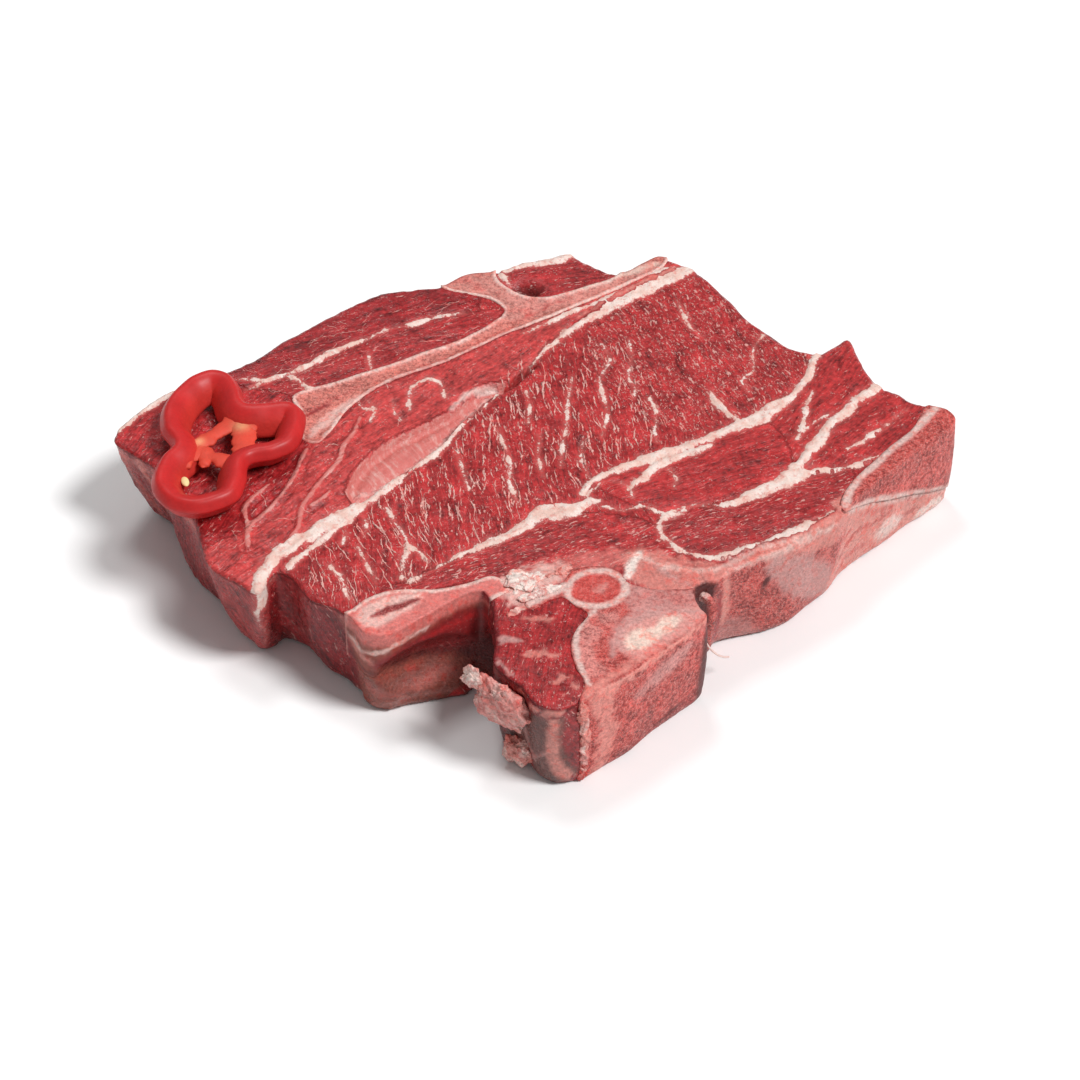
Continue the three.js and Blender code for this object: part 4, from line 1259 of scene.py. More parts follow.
BLADE_PATCHES = (
    Patch(Tint.CORTEX, [(-30, 122), (-16, 104), (4, 112), (30, 126), (62, 148), (56, 152), (20, 134), (0, 128),
                        (-16, 132), (-34, 142), (-50, 134)], strength=0.2, blur=3, ragged=3),
    Patch(Tint.MARROW, [(-50, 132, 1), (-40, 138, 1.6), (-30, 128, 1)], closed=False, strength=0.5, blur=2,
          ragged=2.4, spongy=0.8),
    Patch(Tint.MARROW, [(-24, 112, 0.8), (-12, 112, 1.4), (2, 117, 0.6)], closed=False, strength=0.45, blur=1.6,
          ragged=2.4, spongy=0.8),
    Patch(Tint.DISC, [(20, 129, 1.6), (40, 139, 1.4), (60, 150, 1.6)], closed=False, strength=0.7, blur=1.6,
          ragged=1.2),
    Patch(Tint.MARROW, [(-84, 55, 0.3), (-62, 67, 0.8), (-40, 80, 0.7), (-14, 99, 0.5)], closed=False, strength=0.5,
          blur=1.4, ragged=2.0, spongy=0.8),
    Patch(Tint.MUSCLE_BRIGHT, [(-86, 48, 0.2), (-72, 58, 0.8), (-50, 70.5, 1.1), (-30, 84, 0.8), (-8, 99, 0.5)],
          closed=False, strength=0.6, blur=1.2, ragged=1.0),
    Patch(Tint.SPONGY, [(-118, 34, 0.6), (-111, 38, 1.3), (-100, 46, 0.8), (-88, 55, 0.4)], closed=False, ragged=1.2,
          strength=0.7, spongy=1.0),
    Patch(Tint.WINE, [(-116, 30.5, 0.4), (-110, 36, 1.2), (-103, 41, 0.6)], closed=False, ragged=0.6, strength=0.9),
    Patch(Tint.BONE_PALE, [(-111, 17, 1.5), (-106, 26, 3.0), (-98, 36, 2.4), (-90, 46, 1.6)], closed=False,
          strength=0.8, blur=1.8, ragged=1.2),
    Patch(Tint.MARROW, [(-116, 12, 1), (-108, 10, 2), (-103, 16, 1)], closed=False, strength=0.6, blur=2,
          ragged=1.6),
    Patch(Tint.MUSCLE_BRIGHT, [(-12, 103, 0.4), (4, 116, 0.8), (14, 121, 0.4)], closed=False, strength=0.5,
          blur=1.2, ragged=1.8),
)

RIB_PATCHES = (
    Patch(Tint.BONE_PALE, [(-84, -106), (-78, -97), (-66, -91.5), (-54, -91.5), (-58, -99), (-68, -108), (-76, -113)],
          strength=0.8, blur=1.6),
    Patch(Tint.SPONGY_DARK, [(-77, -105.5, 0.8), (-69, -101, 2.1), (-62, -97.5, 1.9), (-56, -94.5, 0.7)],
          closed=False, spongy=0.6, ragged=0.7, blur=0.8),
    Patch(Tint.SILVER, [(-52, -92, 1.4), (-40, -90, 1.4), (-24, -84, 1)], closed=False, strength=0.7, ragged=1.2),
)

VERTEBRA_PATCHES = (
    Patch(Tint.LILAC_PALE, [(40, -84), (50, -86), (66, -88), (82, -90), (78, -100), (62, -104), (46, -104),
                            (40, -96)], strength=0.7, ragged=2.4, blur=2.5, spongy=0.3),
    Patch(Tint.SPONGY_PALE, [(22, -105), (36, -104), (30, -116), (26, -130), (30, -140), (22, -146), (17, -130),
                             (18, -114)], strength=0.6, ragged=2.4, blur=2.5, spongy=0.7),
    Patch(Tint.FAT_PINK, [(78, -98), (66, -116), (51, -130), (30, -148), (20, -158), (20, -150), (34, -140),
                          (50, -122), (62, -106)], strength=0.8, ragged=2, blur=2),
    Patch(Tint.LILAC_PALE, [(33, -130, 1.6), (34, -116, 2), (42, -106, 1.8), (56, -100, 1.4)], closed=False,
          strength=0.8, blur=1.6, ragged=1),
    Patch(Tint.MARROW, [(24, -108, 0.8), (30, -114, 2.4), (26, -124, 1.6), (30, -134, 2)], closed=False, ragged=3.2,
          strength=0.7, spongy=0.9),
    Patch(Tint.MARROW, [(44, -94, 0.8), (54, -92, 1.6), (66, -96, 1.2), (74, -92, 0.8)], closed=False, ragged=3,
          strength=0.4, spongy=0.8),
    Patch(Tint.DISC_PINK, [(36, -128), (36, -114), (46, -105), (62, -101), (76, -102), (70, -112), (56, -124),
                           (44, -132)], ragged=1.4, blur=2),
    Patch(Tint.LILAC_PALE, [(37, -127, 1.2), (36.5, -115, 1.8), (46, -106.5, 1.8), (60, -102.5, 1.6), (72, -103, 1)],
          closed=False, ragged=1.2, strength=0.75, blur=1.4),
    Patch(Tint.DISC, [(40, -126), (39, -118), (45, -114), (52, -112), (56, -107), (64, -106), (62, -112),
                      (54, -119), (46, -126)], ragged=1.2, blur=1.8),
    Patch(Tint.CORTEX, [(11, -86, 2.6), (2, -92.5, 2.4), (-6, -98, 2.2)], closed=False, ragged=0.8),
    Patch(Tint.MARROW, [(14, -88), (19, -80), (28, -78), (37, -83), (37, -92), (26, -97), (16, -94)], spongy=0.5,
          ragged=0.3),
    Patch(Tint.SPONGY_PALE, [(24, -90, 0.8), (28, -87, 2.2), (31, -84, 0.8)], closed=False, strength=0.7, ragged=1.4),
    Patch(Tint.CORTEX, [(12.5, -90, 1.6), (15, -82, 1.5), (23, -76.5, 1.7), (33, -77, 1.8), (39.5, -84, 2),
                        (38, -93, 2), (30, -98.5, 1.9), (20, -98, 1.8), (14, -94.5, 1.6), (12.5, -90, 1.6)],
          closed=False, ragged=0.4, blur=0.8),
    Patch(Tint.CORTEX, [(25, -102, 1.2), (19, -109, 1.6), (16.4, -118, 1.6), (16.6, -128, 1.6), (18.4, -138, 1.5),
                        (22, -148, 1.2)], closed=False, ragged=0.4, blur=0.8),
)

FEATHER_PATCHES = (
    Patch(Tint.CORTEX, [(196, 39, 1.8), (183, 22.5, 2.1), (171, 9, 2.2), (162, -2, 2.2), (153, -12.5, 2.2),
                        (147, -23, 2.4), (146, -31, 2.6)], closed=False, ragged=0.6, blur=1.1),
)


def muscle_colour(values: dict[str, Array]) -> Array:
    """Return the linear colour of muscle from its tone and pinkness."""
    dark, bright, pink = (tint.rgb for tint in (Tint.MUSCLE_DARK, Tint.MUSCLE_BRIGHT, Tint.MUSCLE_PINK))
    colour = dark + (bright - dark) * values["tone"][:, None]
    return colour + (pink - colour) * values["pink"][:, None]


@dataclass
class Beef:
    """The muscles and fat as one slab, open where the bones lie."""

    edge: Array
    cell: float = 1.3
    rows: int = 30
    foot: float = 0.35

    def height(self, plan: Array) -> Array:
        """Return the height of the cut face at plan points, mm."""
        plan = plan[:, :2]
        layers = layer_distances(plan)
        fibres = fibre_frame(np.column_stack([plan, np.zeros(len(plan))]), muscle_values(plan)["turn"])
        return cut_height(plan, layers, clearance(plan, self.edge[:, :2], True), fibres)

    def dent(self, loop: Array, z: Array) -> Array:
        """Return the relief of the wall, drawn back where a bone shows in it."""
        bones = [signed_clearance(loop[:, :2], smooth_path(run, 1.5, True)) for run in BONE_LOOPS.values()]
        feet = (0.0, HEIGHT - 28, 0.0, wedge_foot(loop) + 0.0)
        held = np.zeros(len(loop))
        for away, low in zip(bones, feet):
            held = np.maximum(held, smooth_step(0.2, -1.2, away) * (z > low - 1))
        return wall_dent(loop, z) * (1 - held) - 1.6 * held

    def build(self, material: bpy.types.Material) -> bpy.types.Object:
        """Build, paint and finish the slab."""
        slab = Slab("beef", self.edge, self.cell, self.rows, self.height,
                    lambda plan: np.full(len(plan), self.foot), self.dent, carve_bowl)
        piece = slab.build()
        self.dress(piece, slab)
        finish_piece(piece, material, "meat", "meat", "front_muscle")
        return piece

    def dress(self, piece: bpy.types.Object, slab: Slab) -> None:
        """Store the colours and grain of the muscles, fat and films."""
        points, walled = slab.points, slab.walled
        wander = 3.6 * MIDDLE.layers(*points.T, 16, 2)
        plan = slab.plan.copy()
        plan[walled] += np.stack([wander, -wander], axis=1)[walled] * 0.7
        layers, values = layer_distances(plan), muscle_values(plan)
        canvas = Canvas.plain(len(points), Tint.MUSCLE_BRIGHT)
        canvas.paint[:] = muscle_colour(values)
        # Painted shade: every wall is pulled four tenths of the way towards the dark wall colour
        canvas.paint[walled] += (Tint.WALL_SHADE.rgb - canvas.paint[walled]) * 0.4
        canvas.flesh[:] = 1.0
        canvas.marble[:] = values["marble"]
        canvas.fat[:] = layers["fat"] + np.where(walled, 0.7 + (HEIGHT - points[:, 2]) * 0.055, 0.0)
        canvas.skin[:] = np.minimum(layers["valley"], layers["line"] - 0.4) + np.where(walled, 1.0, 0.0)
        grain = fibre_frame(points, values["turn"] + np.where(layers["valley"] < 1, 72, 0))
        x, y, z = points[walled].T
        grain[walled] = np.stack([z * 0.5, x + 0.6 * z, y], axis=1) * MM
        cut = np.flatnonzero(~walled & (points[:, 2] > HEIGHT / 2))
        for patch in CUT_PATCHES:
            patch.apply(canvas, plan[cut], cut)
        for face in WALL_FACES:
            face.dress(canvas, points, vertex_normals(piece))
        canvas.store(piece, grain)


def wedge_foot(plan: Array) -> Array:
    """Return the height of the underside of the right bone, falling to the corner, mm."""
    start, corner = np.array([148.0, -29.0]), np.array([203.0, 29.0])
    along = corner - start
    return 50.0 - 40.0 * ((plan[:, :2] - start) @ along) / (along @ along)


@dataclass(frozen=True)
class Bone:
    """A bone that shows on the cut face and runs down through the meat."""

    node: str
    outline: Stations
    tint: Tint
    patches: tuple[Patch, ...]
    slot: str
    spongy: float
    foot: Callable[[Array], Array] = lambda plan: np.zeros(len(plan))
    shape: Callable[[Array, Array], Array] = lambda points, directions: points
    rim: float = 0.0
    hollow: float = 0.0
    proud: float = 0.4
    spacing: float = 1.2
    cell: float = 1.1
    rows: int = 24

    def height(self, plan: Array) -> Array:
        """Return the height of the sawn bone, a little proud of the meat."""
        x, y = plan[:, 0], plan[:, 1]
        grain = 0.12 * FINE.layers(x, y, 1.0, 2.4, 2) + 0.25 * MIDDLE.layers(x, y, 0, 9, 2)
        depth = -signed_clearance(plan[:, :2], smooth_path(self.outline, 1.5, True))
        dish = self.hollow * smooth_step(self.rim * 0.5, self.rim * 1.6 + 0.5, depth)
        return swell_height(plan[:, :2]) + self.proud + grain - dish

    def build(self, edge: Array, material: bpy.types.Material) -> bpy.types.Object:
        """Build, paint and finish the bone."""
        loop = clip_to_edge(self.outline, edge, self.spacing, self.proud)
        slab = Slab(self.node + "_sawn", loop, self.cell, self.rows, self.height, self.foot, sawn_dent, self.shape)
        piece = slab.build()
        canvas = Canvas.plain(len(slab.points), self.tint)
        canvas.spongy[:] = self.spongy
        if self.rim:
            depth = -signed_clearance(slab.plan, smooth_path(self.outline, 1.5, True))
            depth = depth + 0.8 * MIDDLE.layers(slab.plan[:, 0], slab.plan[:, 1], 0, 5, 3)
            shell = smooth_step(self.rim + 0.5, self.rim - 0.5, depth)
            shell = np.where(slab.walled, 0.3, 1.0) * shell
            canvas.paint += (Tint.BONE_PALE.rgb - canvas.paint) * shell[:, None]
            canvas.spongy *= 1 - shell
        cut = np.flatnonzero(~slab.walled & (slab.points[:, 2] > HEIGHT / 2))
        for patch in self.patches:
            patch.apply(canvas, slab.plan[cut], cut)
        normals = vertex_normals(piece)
        for face in WALL_FACES:
            face.dress(canvas, slab.points, normals)
        canvas.store(piece, slab.points * MM)
        finish_piece(piece, material, self.slot, self.node)
        return piece


BONES = (
    Bone("blade_bone", BONE_LOOPS["blade"], Tint.BONE, BLADE_PATCHES, "bone", 0.8, rim=1.7, hollow=0.9),
    Bone("rib_bone", BONE_LOOPS["rib"], Tint.SILVER, RIB_PATCHES, "bone", 0.15, rim=2.0, shape=carve_bowl,
         foot=lambda plan: np.full(len(plan), HEIGHT - 28.0)),
    Bone("vertebra", BONE_LOOPS["vertebra"], Tint.SPONGY, VERTEBRA_PATCHES, "spongy_bone", 0.8),
    Bone("feather_bone", BONE_LOOPS["feather"], Tint.SPONGY, FEATHER_PATCHES, "spongy_bone", 0.9, foot=wedge_foot),
)


@dataclass(frozen=True)
class Blob:
    """A torn lump of fat or flesh."""

    name: str
    at: tuple[float, float, float]
    half: tuple[float, float, float]
    turn: float
    tint: Tint
    tear: float = 0.32
    grit: float = 0.05
    detail: int = 6

    def build(self, material: bpy.types.Material) -> bpy.types.Object:
        """Build the lump from a ball torn by noise."""
        bpy.ops.object.select_all(action="DESELECT")
        bpy.ops.mesh.primitive_ico_sphere_add(subdivisions=self.detail, radius=1.0, location=(0, 0, 0))
        piece = bpy.context.object
        piece.name = self.name
        count = len(piece.data.vertices)
        ball = np.zeros(count * 3, np.float32)
        piece.data.vertices.foreach_get("co", ball)
        ball = ball.reshape(-1, 3).astype(float)
        x, y, z = (ball * np.array(self.half) / max(self.half) * 1.2 + np.array(self.at) * 0.37).T
        folds = abs(MIDDLE.layers(x, y, z, 0.8, 4))
        swell = 1 + self.tear * (COARSE.layers(x, y, z, 1.2, 3) - folds) + self.grit * FINE.layers(x, y, z, 0.25, 3)
        c, s = math.cos(math.radians(self.turn)), math.sin(math.radians(self.turn))
        shaped = ball * swell[:, None] * np.array(self.half)
        points = shaped @ np.array([[c, s, 0], [-s, c, 0], [0, 0, 1]]) + np.array(self.at)
        points[:, 2] = np.maximum(points[:, 2], 0.4)
        piece.data.vertices.foreach_set("co", ((points + SHIFT) * MM).astype(np.float32).ravel())
        piece.data.update()
        piece.data.polygons.foreach_set("use_smooth", [True] * len(piece.data.polygons))
        canvas = Canvas.plain(count, self.tint)
        pale = smooth_step(-0.2, 0.7, MIDDLE.layers(x, y, z + 4, 1.3, 3))[:, None]
        canvas.paint += (Tint.FAT_WHITE.rgb - canvas.paint) * pale * 0.7
        canvas.paint += (Tint.MARROW.rgb - canvas.paint) * smooth_step(0.22, 0.0, folds)[:, None] * 0.55
        canvas.store(piece, points * MM)
        finish_piece(piece, material, "meat")
        return piece


BLOBS = (
    Blob("fat_flap", (-18, -146, 39), (16, 6, 15), -38, Tint.SPONGY_PALE),
    Blob("fat_flap_tip", (-31, -138.5, 49), (6, 3, 8), -30, Tint.BONE_PALE, tear=0.4),
    Blob("fat_foot", (-10, -148, 10), (8, 4, 9), -30, Tint.FAT_PINK),
    Blob("torn_fat_left", (-7, -82, 54.2), (11, 7, 2.2), 30, Tint.FAT_WHITE, tear=0.45),
    Blob("torn_fat_middle", (-1, -91, 54.6), (9, 3.4, 1.6), 24, Tint.FAT_WHITE, tear=0.5),
    Blob("torn_fat_right", (9, -77, 54.2), (9, 2.4, 1.4), 24, Tint.FAT_PINK, tear=0.5),
    Blob("torn_fat_front", (-13, -103, 52.5), (9, 3.4, 2.4), 32, Tint.FAT_PINK, tear=0.5),
    Blob("corner_fat_top", (15, -156, 52), (7, 3.0, 2.6), 25, Tint.FAT_PINK, tear=0.5),
    Blob("corner_fat_high", (19, -157, 44), (3.4, 2.4, 7), 25, Tint.FAT_PINK, tear=0.5),
    Blob("corner_fat_middle", (20, -157, 31), (3.0, 2.0, 8), 25, Tint.FAT_PINK, tear=0.6),
    Blob("corner_fat_low", (20, -157, 18), (2.8, 1.8, 7), 25, Tint.SILVER, tear=0.5),
    Blob("corner_fat_foot", (20, -156.5, 6), (3.4, 2.0, 5), 25, Tint.MARROW, tear=0.5),
    Blob("canal_flap", (76, -84, 45), (5, 2.2, 3), -30, Tint.SILVER, tear=0.25),
)


@dataclass(frozen=True)
class Streaks:
    """Streaks of fat that lie in the cut face along the fibres; the neck's tiny specks are partly painted highlights.

    Where no region is given they fall anywhere, as thick as the muscle's marbling asks for.
    """

    name: str
    count: int
    length: float
    width: tuple[float, float]
    spread: float
    wander: float
    steps: int = 6
    pale: float = 0.25
    region: Stations = ()
    turn: float | None = None
    seed: int = 17

    def places(self, beef: Beef) -> tuple[Array, dict[str, Array]]:
        """Draw the middles of the streaks, clear of the seams, the bones and the edge."""
        rng = np.random.default_rng(self.seed)
        edge = beef.edge[:, :2]
        bounds = smooth_path(self.region, 3, True) if self.region else edge
        drawn = rng.uniform(bounds.min(0), bounds.max(0), (self.count * 6, 2))
        drawn = drawn[inside(drawn, bounds) & inside(drawn, edge)]
        drawn = drawn[clearance(drawn, edge, True, 6) > 2.5]
        values, layers = muscle_values(drawn), layer_distances(drawn)
        keep = (layers["fat"] > 1.0) & (layers["bone"] > 1.5) & (layers["valley"] > 0.5)
        if not self.region:
            keep &= rng.random(len(drawn)) < values["marble"] * 0.9
        return drawn[keep][: self.count], {key: data[keep][: self.count] for key, data in values.items()}

    def build(self, beef: Beef, material: bpy.types.Material) -> bpy.types.Object:
        """Build every streak as a thin lens along its own wavering line, joined in one mesh."""
        places, values = self.places(beef)
        rng = np.random.default_rng(self.seed + 1)
        n, m = len(places), self.steps + 1
        turn = values["turn"] if self.turn is None else np.full(n, self.turn)
        drift = 14 * COARSE.at(places[:, 0] / 40, places[:, 1] / 40)
        angle = np.radians(turn + rng.normal(0, self.spread, n) + drift)
        length = self.length * rng.lognormal(0, 0.4, n)
        if self.region == ():
            length *= values["streak"] / 4
        t = np.linspace(-0.5, 0.5, m)
        bend = rng.normal(0, 0.06, n) * length
        step = np.cumsum(rng.normal(0, self.wander, (n, m)), axis=1) * np.sqrt(length / m)[:, None]
        wave = (t**2 - 0.1)[None] * bend[:, None] * 4 + step - step.mean(axis=1, keepdims=True)
        ahead, across = np.stack([np.cos(angle), np.sin(angle)], 1), np.stack([-np.sin(angle), np.cos(angle)], 1)
        spine = places[:, None] + ahead[:, None] * (t[None] * length[:, None])[..., None] + (
            across[:, None] * wave[..., None])
        held = inside(spine[:, [0, -1]].reshape(-1, 2), beef.edge[:, :2]).reshape(n, 2).all(axis=1)
        taper = (np.sin(np.pi * (t + 0.5)) ** 0.6 * 0.9 + 0.08) * np.where(held, 1.0, 0.05)[:, None]
        breadth = rng.uniform(*self.width, (n, 1)) * taper * rng.uniform(0.45, 1.4, (n, m))
        rise = beef.height(spine.reshape(-1, 2)).reshape(n, m)
        rings = []
        for side, lift in ((-1, -0.16), (0, 0.15), (1, -0.16)):
            plan = spine + across[:, None] * (side * breadth)[..., None]
            rings.append(np.concatenate([plan, (rise + lift)[..., None]], axis=2))
        points = np.stack(rings, axis=2).reshape(-1, 3)
        base = (np.arange(n) * m * 3)[:, None, None]
        row = (np.arange(m - 1) * 3)[None, :, None]
        quads = np.array([[0, 3, 4, 1], [1, 4, 5, 2], [2, 5, 3, 0]])
        faces = (base[..., None] + row[..., None] + quads[None, None]).reshape(-1, 4).tolist()
        last = (m - 1) * 3
        ends = np.array([[0, 1, 2], [last + 2, last + 1, last]])
        faces += (base + ends[None]).reshape(-1, 3).tolist()
        piece = make_object(self.name, points, faces)
        canvas = Canvas.plain(len(points), Tint.FLECK)
        shade = np.clip(rng.uniform(-0.3, 0.9, (n, m)) - self.pale, 0, 0.8)
        shade = np.repeat(shade.ravel(), 3)[:, None]
        muscle = np.repeat(muscle_colour(values), m * 3, axis=0)
        canvas.paint[:] = Tint.FLECK.rgb + (muscle - Tint.FLECK.rgb) * shade
        canvas.store(piece, points * MM)
        finish_piece(piece, material, "meat")
        return piece


CHEST_MIDDLE: Stations = [(-72, -14), (-30, 45), (0, 80), (34, 88), (62, 26), (25, -15), (0, -35), (-40, -60)]
CHEST_LEFT: Stations = [(-128, -78), (-112, -52), (-74, -14), (-42, -58), (-72, -90), (-104, -92)]
NECK_REGION: Stations = [(76, 140), (30, 100), (26, 60), (66, 24), (98, 32), (124, 54), (136, 80), (106, 106)]
STREAKS = (
    Streaks("marbling_fine", 900, 3.0, (0.12, 0.34), 12, 0.08, pale=-0.1),
    # Partly fat specks, partly painted highlight: tiny pale dashes strewn over the neck stand for its wet glints
    Streaks("neck_specks_and_painted_highlights", 1500, 1.1, (0.18, 0.42), 40, 0.05, steps=3, pale=0.1, region=NECK_REGION, seed=5),
    Streaks("marbling_long", 300, 7.0, (0.4, 1.0), 7, 0.16, steps=9, pale=0.2, region=CHEST_MIDDLE, turn=100,
            seed=7),
    Streaks("marbling_left", 60, 12, (0.3, 0.8), 8, 0.22, steps=14, pale=0.4, region=CHEST_LEFT, turn=112, seed=9),
    Streaks("veins_blade", 20, 7, (0.2, 0.45), 38, 0.5, steps=10, pale=0.2, region=ZONES["inner_blade"].outline,
            seed=13),
    Streaks("veins_over", 24, 7, (0.2, 0.4), 30, 0.4, steps=10, pale=0.1, region=ZONES["over_blade"].outline, seed=15),
    Streaks("veins_under", 24, 6, (0.2, 0.4), 40, 0.4, steps=10, pale=0.1, region=ZONES["under_seam"].outline,
            seed=19),
    Streaks("veins_left", 36, 7, (0.2, 0.45), 30, 0.5, steps=10, pale=0.1, region=ZONES["left_end"].outline, seed=21),
)


PEPPER_RIM: Stations = [
    (-177, -4), (-183, 8), (-184, 20), (-180, 34), (-172, 46), (-161, 51), (-152, 48), (-146, 38), (-142, 27),
    (-132, 27), (-120, 27), (-114, 21), (-113.5, 9), (-117, -4), (-126, -11), (-138, -15), (-139, -28),
    (-142, -39), (-151, -46), (-163, -49), (-175, -45), (-183, -34), (-184, -22), (-181, -11),
]


@dataclass
class PepperSlice:
    """A slice across a red pepper: a three-lobed wall, the membranes at its heart and one seed."""

    foot: float
    height: float = 13.5
    wall: float = 10.5
    lean: float = 4.5
    rim: float = 4.6
    spacing: float = 1.6
    webs: tuple[tuple[Stations, float], ...] = (
        ([(-178, -3), (-169, -1), (-161, 4), (-154, 11), (-145, 24)], 4.4),
        ([(-144, 27), (-145, 16), (-143, 8), (-142, -2), (-144, -14)], 6.2),
        ([(-178, -8), (-169, -6), (-161, -5), (-154, -9), (-146, -14)], 4.6),
        ([(-166, -2), (-162, -4), (-160, -9), (-161, -15)], 3.2),
        ([(-170, -4), (-168, -10), (-170, -16)], 2.2),
        ([(-143, 12), (-134, 19), (-122, 21)], 4.4),
        ([(-143, 0), (-134, -4), (-121, 0)], 4.4),
    )

    def section(self) -> Array:
        """Return the wall's section from the outer foot round to the inner foot, as inset and height."""
        h, w, r = self.height, self.wall, self.rim

        def inset(z: float) -> float:
            return self.lean * (1 - z / h)

        knots = [(inset(0) + 1, 0), (inset(2), 2), (inset(h * 0.5) - 0.8, h * 0.5), (0, h - r * 1.25),
                 (r * 0.32, h - r * 0.5), (w * 0.3, h - 0.3), (w * 0.5, h), (w * 0.8, h - r * 0.3), (w + 1.2, h - r),
                 (w + 3.4, h - r * 1.9), (w + self.lean, 1.5), (w + self.lean - 1, 0)]
        return smooth_path(knots, 1.2, True)

    def build_wall(self, material: bpy.types.Material) -> bpy.types.Object:
        """Sweep the section round the rim."""
        rim = counter_clockwise(smooth_path(PEPPER_RIM, self.spacing, True))
        out, section = outward(rim, 4), self.section()
        n, m = len(rim), len(section)
        swell = 0.5 * COARSE.at(rim[:, 0] / 16, rim[:, 1] / 16)[:, None]
        inset = section[None, :, 0] + swell * (section[None, :, 1] / self.height)
        plan = rim[:, None] - out[:, None] * inset[..., None]
        rise = self.foot + section[None, :, 1] + 0.35 * MIDDLE.at(plan[..., 0] / 9, plan[..., 1] / 9)
        points = np.concatenate([plan, rise[..., None]], axis=2).reshape(-1, 3)
        points[:, 2] = np.maximum(points[:, 2], self.foot)
        i, j = np.meshgrid(np.arange(n), np.arange(m), indexing="ij")
        after, down = (i + 1) % n, (j + 1) % m
        faces = np.stack([i * m + j, after * m + j, after * m + down, i * m + down], axis=-1).reshape(-1, 4)
        piece = make_object("pepper_wall", points, faces)
        share = np.tile(smooth_step(self.wall * 0.8, self.wall * 1.3, section[:, 0]), n)
        canvas = Canvas.plain(len(points), Tint.PEPPER)
        canvas.paint += (Tint.PEPPER_FLESH.rgb - canvas.paint) * (share * 0.3)[:, None]
        canvas.flesh[:] = share
        canvas.store(piece, points * MM)
        finish_piece(piece, material, "pepper", "pepper_ring")
        return piece

    def build_web(self, index: int, material: bpy.types.Material) -> bpy.types.Object:
        """Build one membrane as an uneven cord of flesh between two necks."""
        stations, half = self.webs[index]
        path = smooth_path(stations, 0.9, False)
        n, m = len(path), 18
        along = np.gradient(path, axis=0)
        along /= np.linalg.norm(along, axis=1, keepdims=True)
        turn = np.linspace(0, 2 * np.pi, m, endpoint=False)[None]
        x, y = path[:, :1], path[:, 1:2]
        breadth = half * (1 + 0.4 * MIDDLE.layers(x, y, np.sign(np.cos(turn)) * 3 + index, 5.5, 3))
        ends = np.minimum(1, np.minimum(np.arange(n), n - 1 - np.arange(n)) / 2.5 + 0.15)[:, None]
        side = np.cos(turn) * breadth * ends
        rise = self.foot + 6.2 + np.sin(turn) * 1.7 * ends * (1 + 0.2 * MIDDLE.layers(x, y, turn, 3.5, 2))
        plan = path[:, None] + np.stack([-along[:, 1], along[:, 0]], 1)[:, None] * side[..., None]
        points = np.concatenate([plan, rise[..., None]], axis=2).reshape(-1, 3)
        i, j = np.meshgrid(np.arange(n - 1), np.arange(m), indexing="ij")
        down = (j + 1) % m
        quads = np.stack([i * m + j, (i + 1) * m + j, (i + 1) * m + down, i * m + down], -1).reshape(-1, 4)[:, ::-1]
        faces = quads.tolist() + [list(range(m)), [(n - 1) * m + k for k in reversed(range(m))]]
        piece = make_object(f"pepper_web_{index + 1}", points, faces)
        canvas = Canvas.plain(len(points), Tint.PEPPER_FLESH)
        for tip, reach in (((-144.5, 13), 3.6), ((-164, 2), 2.6)):
            near = np.exp(-((points[:, :2] - np.array(tip)) ** 2).sum(1) / reach**2)
            canvas.paint += (Tint.PEPPER_PITH.rgb - canvas.paint) * (0.8 * near)[:, None]
        canvas.flesh[:] = 1.0
        canvas.store(piece, points * MM)
        finish_piece(piece, material, "pepper")
        return piece

    def build_seed(self, material: bpy.types.Material) -> bpy.types.Object:
        """Build the seed that hangs in the front lobe."""
        bpy.ops.object.select_all(action="DESELECT")
        bpy.ops.mesh.primitive_uv_sphere_add(segments=24, ring_count=12, radius=1.0, location=(0, 0, 0))
        piece = bpy.context.object
        piece.name = "pepper_seed"
        bpy.ops.transform.resize(value=(0.0019, 0.0034, 0.0010))
        bpy.ops.transform.rotate(value=math.radians(-18), orient_axis="Z")
        at = (np.array([-168.5, -24.5, self.foot + 6.0]) + SHIFT) * MM
        bpy.ops.transform.translate(value=tuple(at))
        bpy.ops.object.transform_apply(location=True, rotation=True, scale=True)
        bpy.ops.object.shade_smooth()
        finish_piece(piece, material, "pepper")
        return piece

    def build(self, flesh: bpy.types.Material, seed: bpy.types.Material) -> None:
        """Build every part of the slice."""
        self.build_wall(flesh)
        for index in range(len(self.webs)):
            self.build_web(index, flesh)
        self.build_seed(seed)


@dataclass
class Thread:
    """The thin white sinew that hangs in the canal."""

    stations: tuple[tuple[float, float, float], ...] = (
        (73.5, -97.5, 38), (76.5, -98.5, 30), (80, -98, 22), (84, -94.5, 15), (89, -90, 11),
    )
    radius: float = 0.5

    def build(self, material: bpy.types.Material) -> bpy.types.Object:
        """Build the sinew as a curve with round section, made a mesh."""
        bpy.ops.object.select_all(action="DESELECT")
        bpy.ops.curve.primitive_nurbs_path_add(location=(0, 0, 0))
        cord = bpy.context.object
        spline = cord.data.splines[0]
        for point, station in zip(spline.points, self.stations):
            point.co = (*((np.array(station) + SHIFT) * MM), 1.0)
        cord.data.bevel_depth = self.radius * MM
        cord.data.bevel_resolution = 3
        cord.data.resolution_u = 16
        cord.data.use_fill_caps = True
        bpy.ops.object.convert(target="MESH")
        piece = bpy.context.object
        piece.name = "canal_sinew"
        finish_piece(piece, material, "meat")
        return piece


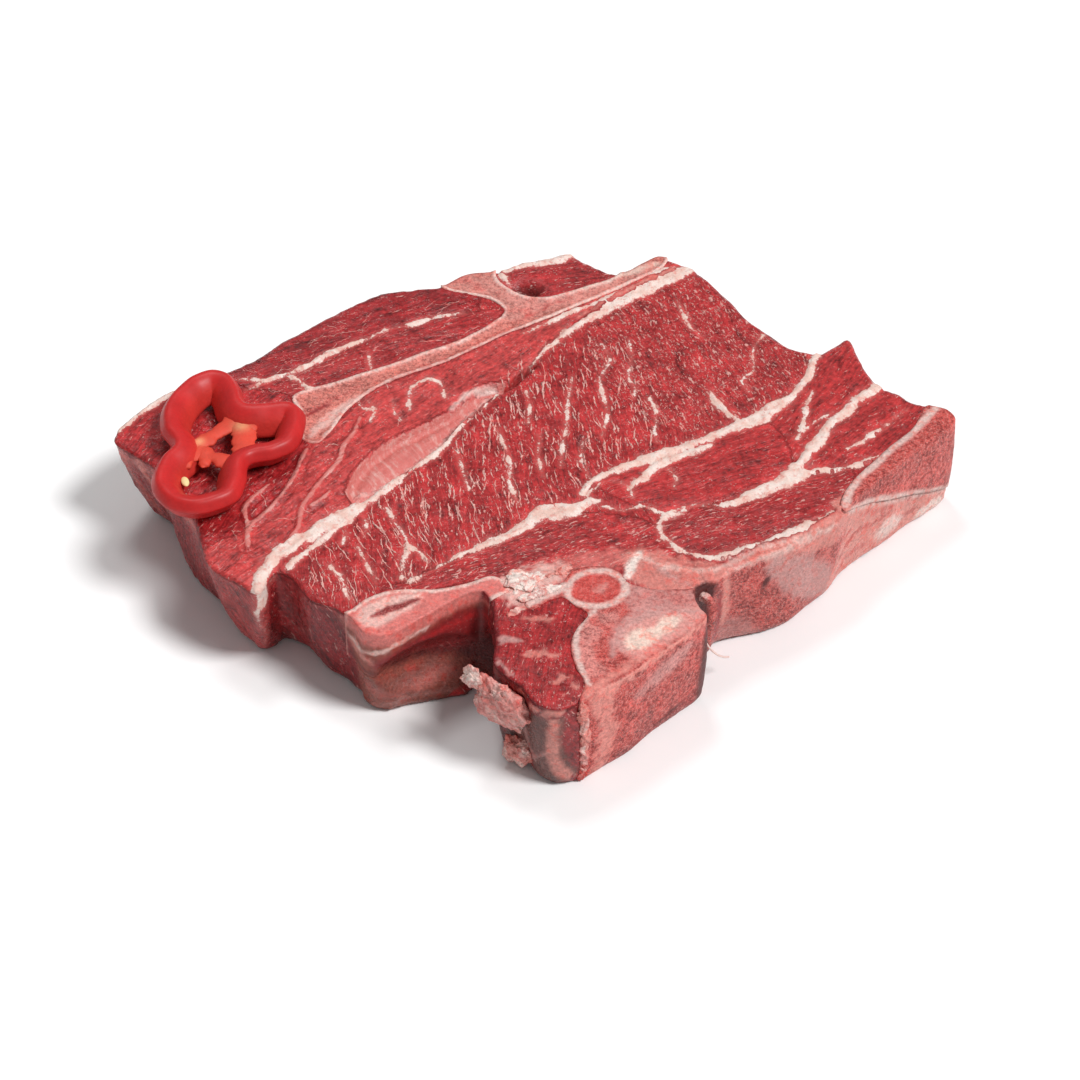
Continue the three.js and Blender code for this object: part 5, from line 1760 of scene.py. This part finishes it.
@dataclass(frozen=True)
class Studio:
    """The pale floor, the soft lights and the camera."""

    target: tuple[float, float, float] = (0.00161, 0.00246, 0.0)
    elevation: float = 44.4
    distance: float = 1.486
    lens: float = 100.0
    floor_size: float = 9.0
    floor_drop: float = 0.0004

    def build_floor(self, material: bpy.types.Material) -> None:
        """Lay the floor just under the steak."""
        bpy.ops.mesh.primitive_plane_add(size=self.floor_size, location=(0, 0, -self.floor_drop))
        floor = bpy.context.object
        floor.name = "floor"
        floor.data.materials.append(material)

    def build_light(self, name: str, place: tuple[float, float, float], size: float, power: float) -> None:
        """Add a soft square light that looks at the steak."""
        bpy.ops.object.light_add(type="AREA", location=place)
        light = bpy.context.object
        light.name = name
        light.data.size = size
        light.data.energy = power
        light.rotation_euler = (Vector(self.target) - Vector(place)).to_track_quat("-Z", "Y").to_euler()

    def build_sun(self, towards: tuple[float, float, float], spread: float, power: float) -> None:
        """Add the broad key light, which falls evenly on the whole floor.

        Args:
            towards: direction from the steak to the light.
            spread: how wide the light looks, degrees.
            power: strength of the light.
        """
        bpy.ops.object.light_add(type="SUN", location=towards)
        light = bpy.context.object
        light.name = "key_light"
        light.data.angle = math.radians(spread)
        light.data.energy = power
        light.rotation_euler = Vector(towards).to_track_quat("Z", "Y").to_euler()

    def build_camera(self) -> None:
        """Add the camera at the photograph's viewing angle."""
        rise = math.radians(self.elevation)
        back = Vector((0, -math.cos(rise), math.sin(rise))) * self.distance
        bpy.ops.object.camera_add(location=Vector(self.target) + back)
        camera = bpy.context.object
        camera.rotation_euler = (math.radians(90 - self.elevation), 0, 0)
        camera.data.lens = self.lens
        camera.data.sensor_width = 36.0
        bpy.context.scene.camera = camera

    def build(self, floor: bpy.types.Material) -> None:
        """Build the whole set."""
        self.build_floor(floor)
        self.build_sun((1.3, -0.5, 2.0), 16, 2.75)
        self.build_light("top_light", (-0.25, 0.75, 2.0), 0.5, 11)
        world = bpy.data.worlds.new("studio")
        world.use_nodes = True
        world.node_tree.nodes["Background"].inputs["Color"].default_value = (1, 1, 1, 1)
        world.node_tree.nodes["Background"].inputs["Strength"].default_value = 0.3
        bpy.context.scene.world = world
        bpy.context.scene.view_settings.view_transform = "Standard"
        self.build_camera()


def main() -> None:
    """Dress the steak, light it and look at it."""
    logging.basicConfig(level=logging.INFO, format="%(message)s")
    groups = shared_groups()
    meat = BeefFinish("raw_beef").make(groups)
    bone = BeefFinish("sawn_bone", roughness=0.5, scatter=0.14, relief=0.35).make(groups)
    spongy = BeefFinish("spongy_bone", roughness=0.5, relief=0.6).make(groups)
    pepper = PepperFinish().make()
    seed = PlainFinish("pepper_seed", (0.78, 0.62, 0.30), 0.5, 0.3).make()
    floor = PlainFinish("floor", (0.92, 0.92, 0.92)).make()

    beef = Beef(edge_loop(1.5))
    beef.build(meat)
    for streaks in STREAKS:
        streaks.build(beef, meat)
    for part in BONES:
        part.build(beef.edge, bone if part.slot == "bone" else spongy)
    for blob in BLOBS:
        blob.build(meat)
    sinew = PlainFinish("sinew", (0.75, 0.55, 0.50), 0.45, 0.2).make()
    Thread().build(sinew)
    PepperSlice(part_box("pepper_ring")[0].z / MM).build(pepper, seed)
    Studio().build(floor)


if __name__ == "__main__":
    main()
